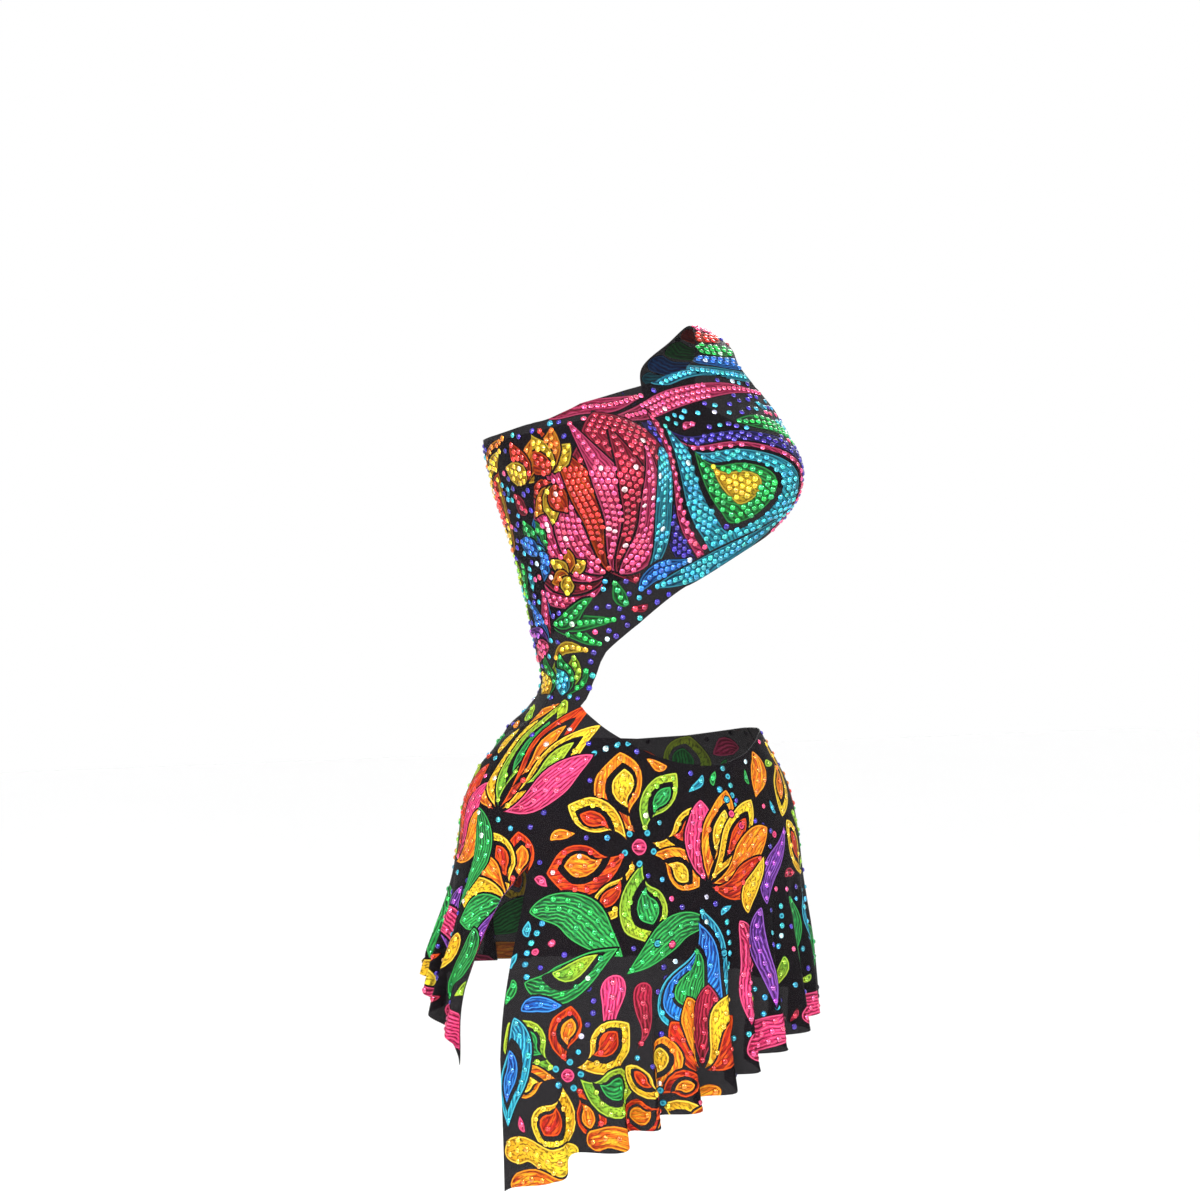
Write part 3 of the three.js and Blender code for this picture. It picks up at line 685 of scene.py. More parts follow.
def petal(root, tip, width, bow, inks, form=leaf, anchor=None, sizes=NEST):
    """A petal of nested strokes, each smaller and nearer its hollow side than the one round it."""
    root, tip = np.array(root, float), np.array(tip, float)
    anchor = (root + tip) / 2 if anchor is None else anchor
    run = (tip - root) / np.hypot(*(tip - root))
    side = np.array([run[1], -run[0]]) * math.copysign(width, bow)
    made = []
    for ink, size in zip(NESTS.get(inks, inks).split(), sizes):
        lean = side * (1 - size) * 0.3
        low = root + (tip - root) * (1 - size) * 0.55 + lean * 0.2
        high = root + (tip - root) * (1 - (1 - size) * 0.4) + lean * 0.7
        gap = NESTED_GAP if ink == "black" or size < 1 else GAP
        made.append(Stroke(bowed(low, high, bow), width * size, ink, form, anchor, gap))
    return made


def banded(root, tip, width, bow, inks):
    return petal(root, tip, width, bow, inks, drop, sizes=RINGS)


def dot(place, size, ink, anchor=None):
    place = np.array(place, float)
    spine = bowed(place - [size, 0], place + [size, 0], 0)
    return Stroke(spine, size * 0.95, ink, disc, place if anchor is None else anchor, DOT_GAP)


def dots(places, ink):
    return [dot(place, LOOSE_DOT_SIZE, ink) for place in places]


def blossom(centre, reach, count, turn, palette):
    """A flower: petals all round, in turn wide and slim, and a dotted heart."""
    made = []
    centre = np.array(centre, float)
    palette = palette.split()
    for k in range(count):
        out = towards(math.radians(turn + 360 * k / count))
        far, width = SLIM_PETAL if k % 2 else WIDE_PETAL
        tip = centre + out * (reach * far)
        bow = 0.2 if k % 3 else -0.2
        inks = palette[k % len(palette)]
        root, width = centre + out * reach * PETAL_ROOT, reach * width * USUAL_PETALS / count
        made += petal(root, tip, width, bow, inks, plump, centre)
    made.append(dot(centre, reach * HEART, "pink", centre))
    for k in range(HEART_DOTS):
        out = towards(math.radians(turn + 40 + 360 / HEART_DOTS * k))
        made.append(dot(centre + reach * HEART_RING * out, HEART_DOT_SIZE, "aqua", centre))
    return made


def spray(root, reach, start, end, count, width, inks, bow=0.2, form=leaf):
    """Leaves that fan out from one root, from one heading to another, in degrees."""
    made = []
    root = np.array(root, float)
    inks = inks.split()
    for k in range(count):
        share = k / (count - 1)
        out = towards(math.radians(start + (end - start) * share))
        far = reach * (0.82 + 0.18 * math.sin(math.pi * share))
        bend = bow * (1 - 2 * share)
        made += petal(root + out * far * 0.1, root + out * far, width, bend, inks[k % len(inks)], form, root)
    return made


def streak(points, width, ink, form=leaf):
    return [Stroke(path_point(points, eased(run_of(points)[-1])), width, ink, form)]


def tendrils(ink, *curves):
    """Rows of dots that curl between the motifs, each dot just wide enough for its stone."""
    made = []
    for curve in curves:
        shares = np.linspace(0, 1, int(run_of(curve)[-1] / ROW_DOT_STEP) + 1)
        made += [dot(place, ROW_DOT_SIZE, ink) for place in path_point(curve, shares)]
    return made


# What is drawn on each panel, later over earlier: a maker and what it is given, in print places.
BODICE_FRONT_PRINT = [
    (petal, (-62, 288), (116, 124), 84, -0.14, "indigo", drop),
    # Along the neckline and up the strap.
    (streak, [(-150, 258), (-120, 268), (-84, 272), (-44, 284)], 8, "pink"),
    (streak, [(-96, 256), (-50, 266), (0, 284), (60, 296), (112, 294)], 9, "pink"),
    (streak, [(-28, 298), (14, 314), (60, 320), (112, 314)], 10, "aqua", band),
    (streak, [(16, 344), (60, 342), (112, 336)], 10, "blue", band),
    (streak, [(20, 368), (56, 362), (104, 360)], 9, "green", band),
    (streak, [(16, 388), (60, 384), (84, 386)], 9, "red", band),
    (streak, [(20, 406), (66, 403), (112, 400)], 8, "pink", band),
    (streak, [(96, 384), (106, 374), (112, 380)], 6, "crimson"),
    # Rays on the wearer's right bust.
    (petal, (-72, 100), (-104, 264), 66, 0.1, "crimson", plump),
    (spray, (-74, 100), 166, 166, 76, 8, 17, "pink crimson pink pink red pink crimson pink", 0.26),
    (petal, (-66, 100), (-34, 232), 15, -0.16, "aqua", drop),
    (petal, (-52, 96), (4, 128), 9, 0.2, "blue"),
    # A banded drop on the left bust.
    (banded, (-44, 270), (98, 142), 64, -0.14, "pink black aqua black green yellow"),
    (streak, [(60, 262), (104, 258), (136, 236), (142, 206)], 9, "green"),
    (streak, [(126, 264), (160, 256), (176, 230), (172, 204)], 9, "aqua"),
    (streak, [(190, 254), (204, 234), (200, 210)], 9, "pink"),
    (streak, [(224, 254), (234, 234), (228, 212)], 8, "purple"),
    (streak, [(136, 196), (152, 214), (154, 238)], 6, "pink"),
    (streak, [(-34, 100), (14, 118), (60, 144), (104, 182)], 10, "aqua"),
    # The wearer's right side, from the top down to the waist.
    (spray, (-186, 204), 48, 50, 150, 4, 12, "yellow orange yellow red", 0.15),
    (spray, (-184, 200), 42, 200, 300, 4, 11, "red orange yellow red"),
    (spray, (-150, 134), 42, 120, 240, 4, 11, "green blue aqua blue"),
    (spray, (-120, 112), 26, 40, 250, 5, 7, "yellow orange", 0.1),
    (spray, (-150, 62), 74, -16, 28, 3, 8, "green", 0.14),
    (spray, (-144, 86), 26, 140, 230, 3, 7, "purple pink blue", 0.1),
    (streak, [(-140, 30), (-122, 42), (-96, 40)], 6, "yellow"),
    (spray, (-124, -8), 46, 54, 124, 4, 10, "green lime green aqua", 0.1),
]
BODICE_BACK_PRINT = [
    (streak, [(-132, 322), (-100, 326), (-66, 322)], 9, "aqua", band),
    (streak, [(-132, 344), (-100, 340), (-66, 346)], 9, "blue", band),
    (streak, [(-130, 366), (-100, 360), (-70, 366)], 9, "green", band),
    (streak, [(-132, 388), (-100, 384), (-68, 388)], 9, "red", band),
    (streak, [(-140, 302), (-90, 304), (-30, 288), (20, 262)], 10, "pink"),
    (streak, [(-170, 282), (-110, 284), (-50, 266), (0, 242)], 9, "aqua"),
    (spray, (-160, 192), 84, 10, 96, 6, 13, "aqua blue green aqua", 0.16),
    (petal, (22, 130), (40, 250), 58, 0.1, "crimson", plump),
    (spray, (22, 130), 130, 28, 134, 8, 16, "pink crimson pink red", 0.24),
    (petal, (-92, 240), (66, 96), 46, 0.2, "indigo", drop),
    (banded, (-74, 226), (52, 110), 34, 0.2, "green black aqua black pink"),
    (banded, (208, 244), (140, 140), 36, -0.18, "orange black yellow black red"),
    (streak, [(-204, 252), (-192, 232), (-200, 212)], 9, "pink"),
    (spray, (240, 196), 48, 40, 150, 4, 12, "yellow orange red yellow", 0.15),
    (spray, (214, 128), 44, 20, 150, 5, 10, "blue aqua blue green", 0.18),
    (spray, (132, 74), 66, 70, 190, 6, 11, "green lime green aqua", 0.18),
    (spray, (190, 44), 58, 60, 200, 5, 9, "purple pink blue", 0.14),
    (spray, (150, -12), 48, 50, 130, 4, 10, "green lime green yellow", 0.1),
]
SKIRT_FRONT_PRINT = [
    (
        tendrils, "aqua", [(150, -222), (160, -258), (152, -298), (128, -330)],
        [(-42, -214), (-52, -246), (-40, -286)], [(78, -56), (112, -64), (142, -84), (154, -112)],
        [(-22, -62), (8, -50), (40, -48)], [(226, -214), (238, -252), (232, -296)],
        [(180, -338), (226, -322), (262, -300)], [(-120, -180), (-104, -212), (-118, -250)],
        [(300, -204), (304, -250), (290, -290)],
    ),
    (
        tendrils, "indigo", [(84, -258), (98, -298), (86, -340)], [(4, -262), (18, -290), (8, -316)],
        [(150, -140), (176, -128), (204, -140)], [(-70, -60), (-50, -84), (-48, -112)],
        [(120, -140), (140, -170), (134, -204)],
    ),
    # High on the wearer's right hip.
    (spray, (-96, -118), 112, 122, 40, 6, 17, "fire yellow fresh ember zest pink", 0.16, plump),
    (petal, (-128, -48), (-88, -12), 7, 0.2, "orange"),
    (blossom, (44, -146), 92, 8, 14, "sun fresh fire sun ember"),
    (spray, (-70, -196), 82, 100, 200, 5, 15, "ember sun orange yellow green", 0.18, plump),
    # Behind the slit.
    (petal, (-150, -110), (-150, -208), 16, 0.16, "green"),
    (petal, (-84, -176), (-112, -254), 9, 0.16, "purple"),
    (petal, (-74, -200), (-96, -268), 6, 0.1, "pink"),
    (petal, (-128, -222), (-140, -296), 13, 0.2, "green"),
    (streak, [(-176, -306), (-140, -318), (-96, -332)], 15, "pink", band),
    # Leaves under the blossoms.
    (petal, (-56, -204), (40, -246), 19, 0.26, "green"),
    (petal, (-50, -268), (34, -238), 17, -0.24, "grass"),
    (petal, (128, -222), (46, -262), 15, -0.24, "green"),
    (petal, (40, -326), (34, -262), 12, 0.1, "pink", drop),
    (petal, (62, -330), (66, -270), 10, -0.16, "crimson", drop),
    # The wearer's left.
    (spray, (120, -190), 104, 90, 14, 5, 17, "pink fire sun orange red", 0.2, plump),
    (petal, (236, -52), (214, -128), 14, 0.16, "yellow black orange", plump),
    (petal, (262, -50), (280, -118), 12, -0.16, "fire", plump),
    (petal, (266, -190), (244, -132), 15, 0.1, "sun", plump),
    (petal, (194, -210), (236, -138), 11, 0.14, "purple"),
    (petal, (172, -216), (196, -164), 10, 0.14, "yellow"),
    (banded, (118, -206), (116, -322), 40, 0.24, "pool"),
    (petal, (178, -222), (184, -318), 14, 0.16, "pink"),
    (petal, (212, -212), (216, -306), 11, -0.14, "purple"),
    (spray, (172, -362), 84, 128, 50, 5, 15, "red orange crimson yellow", 0.2, plump),
    (petal, (292, -120), (300, -200), 14, 0.16, "green"),
    (petal, (262, -206), (270, -296), 14, 0.2, "green"),
    (petal, (316, -200), (322, -290), 14, -0.16, "aqua"),
    (petal, (364, -240), (372, -310), 14, 0.2, "green"),
    (streak, [(212, -346), (262, -330), (312, -322)], 14, "pink", band),
    (streak, [(330, -322), (400, -318), (470, -314)], 14, "pink", band),
    (petal, (410, -262), (480, -274), 14, 0.2, "green"),
    # Near the hem in front.
    (blossom, (-4, -352), 74, 7, 38, "sun ember fresh fire"),
    (blossom, (110, -378), 58, 6, 80, "fire sun ember"),
    (petal, (-58, -300), (-66, -402), 14, 0.14, "aqua black blue"),
    (petal, (-50, -294), (-12, -288), 8, 0.2, "blue"),
    (streak, [(-82, -430), (-56, -420), (-28, -430), (4, -420)], 12, "yellow", band),
    (streak, [(-82, -458), (-50, -446), (-22, -452), (4, -438)], 9, "orange", band),
    (streak, [(12, -414), (38, -406), (64, -414)], 10, "orange", band),
    (streak, [(70, -422), (98, -414), (132, -402)], 8, "yellow", band),
    (streak, [(146, -402), (176, -388), (208, -374)], 9, "orange", band),
    (dots, [(-30, -232), (-44, -240), (90, -238), (150, -120), (162, -132), (210, -144)], "pink"),
    (dots, [(134, -96), (144, -106), (74, -236), (150, -250), (158, -264)], "aqua"),
]
SKIRT_BACK_PRINT = [
    (
        tendrils, "aqua", [(-40, -60), (-4, -70), (26, -64)], [(150, -70), (170, -96), (166, -130)],
        [(-186, -70), (-172, -104), (-184, -140)], [(30, -226), (20, -256), (32, -280)],
        [(-130, -220), (-96, -214), (-66, -222)], [(212, -196), (224, -236), (212, -270)],
    ),
    (
        tendrils, "indigo", [(-20, -120), (-4, -156), (-24, -190)],
        [(-206, -200), (-214, -240), (-202, -276)], [(130, -220), (148, -240), (150, -268)],
        [(276, -180), (284, -224), (276, -264)],
    ),
    (blossom, (-100, -132), 84, 7, 10, "sun ember fresh fire"),
    (blossom, (88, -146), 92, 8, 30, "sun fresh fire sun ember"),
    (blossom, (-20, -254), 58, 7, 60, "fire sun ember"),
    (spray, (-214, -180), 96, 116, 36, 5, 16, "green fire yellow fresh pink", 0.2, plump),
    (spray, (214, -172), 104, 128, 48, 6, 16, "orange sun fresh red pink", 0.18, plump),
    (spray, (-6, -176), 108, 120, 62, 5, 13, "purple blue pink green", 0.16),
    (petal, (-176, -200), (-90, -236), 18, 0.24, "green"),
    (petal, (-190, -256), (-100, -266), 16, -0.2, "grass"),
    (petal, (52, -240), (138, -254), 17, 0.22, "green"),
    (banded, (164, -204), (186, -284), 32, 0.24, "pool"),
    (banded, (-244, -196), (-256, -276), 28, -0.24, "pool"),
    (petal, (-300, -220), (-304, -290), 14, 0.2, "green"),
    (petal, (-350, -240), (-352, -300), 12, -0.2, "purple"),
    (petal, (248, -190), (258, -264), 14, 0.2, "green"),
    (petal, (300, -186), (310, -262), 11, -0.16, "purple"),
    (petal, (360, -220), (430, -250), 14, 0.2, "pink"),
    (streak, [(-400, -306), (-340, -298), (-280, -292)], 13, "pink", band),
    (streak, [(-260, -292), (-220, -288), (-180, -292)], 10, "orange", band),
    (streak, [(-160, -290), (-110, -284), (-70, -288)], 10, "yellow", band),
    (streak, [(44, -282), (100, -276), (146, -274)], 10, "orange", band),
    (streak, [(170, -292), (230, -280), (290, -274)], 12, "pink", band),
    (streak, [(310, -276), (370, -276), (430, -284)], 12, "yellow", band),
    (streak, [(440, -296), (480, -302), (520, -306)], 12, "pink", band),
    (dots, [(-30, -86), (-20, -98), (-186, -110), (150, -80), (14, -190), (-220, -80)], "aqua"),
]
# Small leaves between the motifs: their inks, lengths and how often each length is tried.
BODICE_FILL = ("aqua pink green blue purple crimson aqua yellow", (38, 28, 18, 12), 500)
SKIRT_FILL = ("green yellow orange pink aqua crimson lime red", (48, 34, 24, 15), 500)


def fill_bare(panel, strokes, loop, inks, lengths, tries, draw):
    """Small leaves scattered on the cloth that the larger motifs leave bare."""
    low, high = loop.min(0), loop.max(0)
    size = np.ceil((high - low) / FILL_CELL).astype(int) + 1
    centres = np.indices(size).reshape(2, -1).T * FILL_CELL + low
    taken = ~inside(loop, centres)
    grid = taken.reshape(size)
    inks = inks.split()

    def take(mark):
        rim = panel.chart(mark.border, mark)
        box = (centres >= rim.min(0) - FILL_CELL) & (centres <= rim.max(0) + FILL_CELL)
        found = np.nonzero(box.all(1))[0]
        taken[found[inside(rim, centres[found])]] = True

    for mark in strokes:
        if mark.ink != "black":
            take(mark)
    made = []
    for length in lengths:
        for place, turn, tone, width in zip(
            low + (high - low) * draw.random((tries, 2)),
            draw.random(tries) * 2 * math.pi,
            draw.integers(0, len(inks), tries),
            0.16 + 0.12 * draw.random(tries),
        ):
            if grid[tuple(((place - low) / FILL_CELL).astype(int))]:
                continue
            middle = panel.print_place(place)
            out = towards(turn) * length / 2
            spine = bowed(middle - out, middle + out, FILL_BOW)
            mark = Stroke(spine, length * width, inks[tone], anchor=middle)
            rim = np.vstack([panel.chart(line, mark) for line in (mark.border, mark.spine)])
            cells = np.round((rim - low) / FILL_CELL).astype(int)
            if np.all((cells >= 0) & (cells < size)) and not grid[tuple(cells.T)].any():
                take(mark)
                made.append(mark)
    return made


# Meshes

def anticlockwise(loop):
    after = np.roll(loop, -1, 0)
    return loop if np.sum(loop[:, 0] * after[:, 1] - loop[:, 1] * after[:, 0]) > 0 else loop[::-1]


def inside(loop, places):
    """Which places lie in a closed loop of points."""
    x, y = places.T
    found = np.zeros(len(places), bool)
    for (x0, y0), (x1, y1) in zip(loop, np.roll(loop, -1, 0)):
        if y0 != y1:
            found ^= ((y0 > y) != (y1 > y)) & (x < (x1 - x0) * (y - y0) / (y1 - y0) + x0)
    return found


def near(points, places):
    """How far each place is from the nearest of the points."""
    tree = KDTree(len(points))
    for k, (x, y) in enumerate(points):
        tree.insert((x, y, 0), k)
    tree.balance()
    return np.array([tree.find((x, y, 0))[2] for x, y in places])


def inner_points(panel, loop, strokes, rims):
    """Points that carry the panel's curves and the depth of each stroke."""
    low, high = loop[:, 1].min(), loop[:, 1].max()
    home, height = np.meshgrid(panel.columns, np.arange(low + ROW_STEP / 2, high, ROW_STEP))
    home, height = home.ravel(), height.ravel()
    # Over the slit's top the skirt has every other point, as its flutes are shallow there.
    fine = (height < SLIT_TOP) | (np.arange(len(home)) % 2 == 0) | (low > HIGH_PANEL)
    places = np.stack([home * DEGREE, height], 1)[fine]
    places = places[inside(loop, places)]
    marks = []
    for mark in strokes:
        out = mark.sideways()[1] * mark.widths[:, None]
        shares = (-0.55, 0, 0.55) if mark.widths.max() > 5 else (0,)
        marks += [panel.chart((mark.spine + out * share)[1:-1], mark) for share in shares]
    marks = np.vstack(marks)
    marks = marks[inside(loop, marks)]
    marks = marks[near(np.vstack([rims, loop]), marks) > MARK_CLEAR]
    places = places[near(np.vstack([rims, loop, marks]), places) > POINT_CLEAR]
    return np.vstack([places, marks])


def cut_and_print(panel, strokes, loop):
    """The panel's triangles, with the topmost stroke of each, or -1 on bare cloth."""
    rims = [panel.chart(rim, mark) for mark in strokes for rim in (mark.border, mark.shape)]
    ends = np.cumsum([len(part) for part in (loop, *rims)])
    faces = [list(range(end - len(part), end)) for part, end in zip((loop, *rims), ends)]
    points = np.vstack([loop, *rims, inner_points(panel, loop, strokes, np.vstack(rims))])
    made = delaunay_2d_cdt([Vector(place) for place in points], [], faces, 0, 1e-5, True)
    places = np.array([tuple(v) for v in made[0]])
    kept = [(face, max(ids)) for face, ids in zip(made[2], made[5]) if 0 in ids and len(face) == 3]
    triangles = np.array([face for face, _ in kept])
    top = np.array([name for _, name in kept])
    owner = np.where((top > 0) & (top % 2 == 0), top // 2 - 1, -1)
    used, triangles = np.unique(triangles, return_inverse=True)
    return places[used], triangles.reshape(-1, 3), owner


def to_frame(points):
    return (points - HOLD) * MM


def link(name, data):
    made = bpy.data.objects.new(name, data)
    bpy.context.scene.collection.objects.link(made)
    return made


def mesh_object(name, points, triangles, material):
    mesh = bpy.data.meshes.new(name)
    mesh.from_pydata(points.tolist(), [], triangles.tolist(), shade_flat=False)
    mesh.materials.append(material)
    return link(name, mesh)


def attribute(mesh, name, values):
    """Values for each corner of each face: numbers, vectors or colours."""
    kinds = {1: ("FLOAT", "value"), 3: ("FLOAT_VECTOR", "vector"), 4: ("FLOAT_COLOR", "color")}
    kind, field = kinds[values.size // len(mesh.loops)]
    made = mesh.attributes.new(name, kind, "CORNER")
    made.data.foreach_set(field, np.ascontiguousarray(values, np.float32).ravel())


def cloth_piece(panel, strokes, loop, shade_between_stones, material):
    """One printed panel: an outer and an inner skin, joined round the edge.

    Its inks are darkened by a painted shade that falls between densely set stones.
    """
    places, triangles, owner = cut_and_print(panel, strokes, loop)
    home, height = np.clip(places[:, 0] / DEGREE, panel.first, panel.last), places[:, 1]
    middle, normal, _ = panel.frame(home, height)
    count, size = len(places), len(triangles)
    links = np.vstack([triangles[:, [0, 1]], triangles[:, [1, 2]], triangles[:, [2, 0]]])
    _, first, times = np.unique(np.sort(links, 1) @ [count, 1], return_index=True, return_counts=True)
    a, b = links[first[times == 1]].T
    rim = [np.stack([b, a, a + count], 1), np.stack([b, a + count, b + count], 1)]
    faces = np.vstack([triangles, triangles[:, ::-1] + count, *rim])
    skins = np.vstack([middle + normal * CLOTH_HALF, middle - normal * CLOTH_HALF])
    made = mesh_object(panel.name, to_frame(skins), faces, material)
    mesh = made.data
    corners = skins[faces]
    flat = np.cross(corners[:, 1] - corners[:, 0], corners[:, 2] - corners[:, 0])
    flat /= np.maximum(np.linalg.norm(flat, axis=1, keepdims=True), 1e-12)
    shown = np.concatenate([normal, -normal])[faces]
    shown[2 * size:] = flat[2 * size:, None]
    mesh.normals_split_custom_set(shown.reshape(-1, 3).tolist())

    ink, light, run, hatch = (np.zeros((size, 3) + wide) for wide in ((4,), (4,), (3,), ()))
    ink[..., 3] = light[..., 3] = 1
    for k, mark in enumerate(strokes):
        mine = owner == k
        if not mine.any() or mark.ink == "black":
            continue
        kind, *tones = INKS[mark.ink]
        start, end, edge_ink, _ = np.array(tones) / 100
        spots = triangles[mine].ravel()
        along, away, depth = mark.measure(panel.motif_places(home[spots], height[spots], mark))
        share = (along / mark.length)[:, None]
        # Painted shade: the ink and its edge tone are darkened where stones are densely set.
        ink[mine, :, :3] = shade_between_stones * (start * (1 - share) + end * share).reshape(-1, 3, 3)
        light[mine, :, :3] = shade_between_stones * edge_ink
        run[mine] = np.stack([along + 37 * k, away, depth], 1).reshape(-1, 3, 3)
        hatch[mine] = kind

    def all_faces(values):
        rim = np.zeros((len(faces) - 2 * size,) + values.shape[1:])
        return np.concatenate([values, values[:, ::-1], rim])

    for name, values in (("ink", ink), ("light", light), ("run", run), ("hatch", hatch)):
        attribute(mesh, name, all_faces(values))
    reverse = np.zeros((len(faces), 3))
    reverse[size: 2 * size] = 1
    attribute(mesh, "reverse", reverse)
    weave = np.stack([panel.across(home, height), height], 1)
    chart = all_faces(weave[triangles]) * MM
    mesh.uv_layers.new(name="UVMap").data.foreach_set("uv", np.ascontiguousarray(chart, np.float32).ravel())
    return made


# Crystals

# A stone's rings, in radii: how wide and how high.
STONE_SIDES, STONE_RINGS = 10, [(1.1, 0.0), (0.97, 0.14), (0.46, 0.62)]
PAINTED_GLINT_SHARE = 0.03           # the share of stones whose colour is whitened as a painted glint
BARE_INDIGO, BARE_AQUA = 0.62, 0.9      # below these draws a stone on bare cloth is so, or else pink
SPACING_CELL = 8.0
FIRST_SEED = 11
# Stones: radius, pitch, lanes, gap on bare cloth, tries there, and the painted shade that darkens the ink
# between them.
DENSE = (2.85, 6.4, 5.7, 7.8, 7000, 0.42)
SPARSE = (2.7, 11.0, 8.6, 15.0, 4200, 1.0)


def spaced(points, gaps):
    """Which points to keep, in order, so that each is its own gap from those kept before."""
    kept, grid = [], {}
    for k, point in enumerate(points):
        x, y, z = (point // SPACING_CELL).astype(int)
        close = (
            other
            for dx in (-1, 0, 1) for dy in (-1, 0, 1) for dz in (-1, 0, 1)
            for other in grid.get((x + dx, y + dy, z + dz), ())
        )
        if all(np.dot(point - points[j], point - points[j]) >= gaps[k] ** 2 for j in close):
            grid.setdefault((x, y, z), []).append(k)
            kept.append(k)
    return np.array(kept)


def stone_places(panel, strokes, pitch, radius, rows_between):
    """Cutting places of the stones along each stroke, with the stroke of each."""
    places, owner = [], []
    for k, mark in enumerate(strokes):
        if mark.ink == "black" or mark.widths.max() < radius * 0.6:
            continue

        def spine_at(run):
            return np.stack([np.interp(run, mark.run, mark.spine[:, i]) for i in (0, 1)], 1)

        steps = max(1, int(mark.length / pitch))
        lanes = int(max(0, mark.widths.max() - radius * 0.8) / rows_between)
        for lane in sorted(range(-lanes, lanes + 1), key=abs):
            # Every other lane is staggered.
            share = (np.arange(steps) + (0.5 if lane % 2 == 0 else 0.95)) / steps
            run = share[share < 0.99] * mark.length
            at = spine_at(run)
            ahead = spine_at(run + 0.5) - at
            ahead /= np.maximum(np.linalg.norm(ahead, axis=1, keepdims=True), 1e-9)
            away = lane * rows_between
            room = np.interp(run, mark.run, mark.widths) - radius * 0.75
            fits = abs(away) <= np.maximum(room, 0) + 0.01
            side = np.stack([-ahead[:, 1], ahead[:, 0]], 1) * away
            places.append(panel.chart((at + side)[fits], mark))
            owner += [k] * int(fits.sum())
    return np.vstack(places), np.array(owner)


def crystals(panel, strokes, loop, plan, material, draw):
    """All of a panel's crystals as one joined mesh of flat-backed, faceted stones."""
    radius, pitch, lanes, bare_gap, bare_count, _ = plan
    places, owner = stone_places(panel, strokes, pitch, radius, lanes)
    low, high = loop.min(0), loop.max(0)
    places = np.vstack([places, low + (high - low) * draw.random((bare_count, 2))])
    owner = np.concatenate([owner, np.full(bare_count, -1)])
    covered = np.full(len(places), -1)
    for k, mark in enumerate(strokes):
        black = mark.ink == "black"
        rim = panel.chart(mark.shape if black else mark.border, mark)
        covered[inside(rim, places)] = -1 if black else k
    good = inside(loop, places) & (near(loop, places) > radius + 0.5) & (covered == owner)
    places, owner = places[good], owner[good]
    middle, normal, side = panel.frame(places[:, 0] / DEGREE, places[:, 1])
    kept = spaced(middle, np.where(owner < 0, bare_gap, pitch * 0.9))
    middle, normal, side, owner = middle[kept], normal[kept], side[kept], owner[kept]
    count = len(kept)

    tones = []
    for k, shade in zip(owner, draw.random(count)):
        bare = "indigo" if shade < BARE_INDIGO else "aqua" if shade < BARE_AQUA else "pink"
        tones.append(INKS[strokes[k].ink if k >= 0 else bare][4])
    tones = np.array(tones) / 100
    tones = tones * draw.uniform(0.75, 1.15, (count, 1)) * draw.uniform(0.8, 1.25, (count, 3))
    # Painted glints: a few stones' colour is whitened to stand in for light they catch.
    painted_glints = draw.random(count) < PAINTED_GLINT_SHARE
    tones[painted_glints] = tones[painted_glints] * 0.5 + 0.48
    sizes = radius * (0.88 + 0.2 * draw.random(count))
    turn = draw.random(count) * 2 * math.pi
    other = np.cross(normal, side)
    n = STONE_SIDES
    corners = []
    for reach, rise in STONE_RINGS:
        angle = turn[:, None] + np.arange(n) * 2 * math.pi / n + (math.pi / n if rise > 0.5 else 0)
        flat = np.cos(angle)[..., None] * side[:, None] + np.sin(angle)[..., None] * other[:, None]
        up = (CLOTH_HALF - 0.05 + rise * sizes)[:, None, None] * normal[:, None]
        corners.append(middle[:, None] + flat * (reach * sizes)[:, None, None] + up)
    points = np.concatenate(corners, 1)
    faces = [(2 * n, 2 * n + k, 2 * n + k + 1) for k in range(1, n - 1)]
    faces += [(0, k + 1, k) for k in range(1, n - 1)]
    for low in (0, n):
        for k in range(n):
            here, after = low + k, low + (k + 1) % n
            faces += [(here, after, here + n), (after, after + n, here + n)]
    faces = (np.array(faces) + (np.arange(count) * 3 * n)[:, None, None]).reshape(-1, 3)
    # Painted reflections: each facet's tone stands in for the light and dark a cut stone mirrors, so its flat
    # top is one tone and its facets differ.
    facet_light_and_shade = draw.uniform(0.25, 0.8, (count, len(faces) // count))
    facet_light_and_shade[:, : n - 2] = draw.uniform(0.4, 1.0, (count, 1))
    facet_light_and_shade[:, -2 * n:: 2] += 0.7
    # Painted shade: the stone's back and girdle are near black, a dark outline round it.
    facet_light_and_shade[:, n - 2: -2 * n] = 0.08
    made = mesh_object(panel.name + "_crystals", to_frame(points.reshape(-1, 3)), faces, material)
    colours = np.ones((count, facet_light_and_shade.shape[1], 3, 4))
    colours[..., :3] = np.clip(tones[:, None] * facet_light_and_shade[..., None], 0, 1)[:, :, None]
    attribute(made.data, "tint", colours)
    return made


# Materials

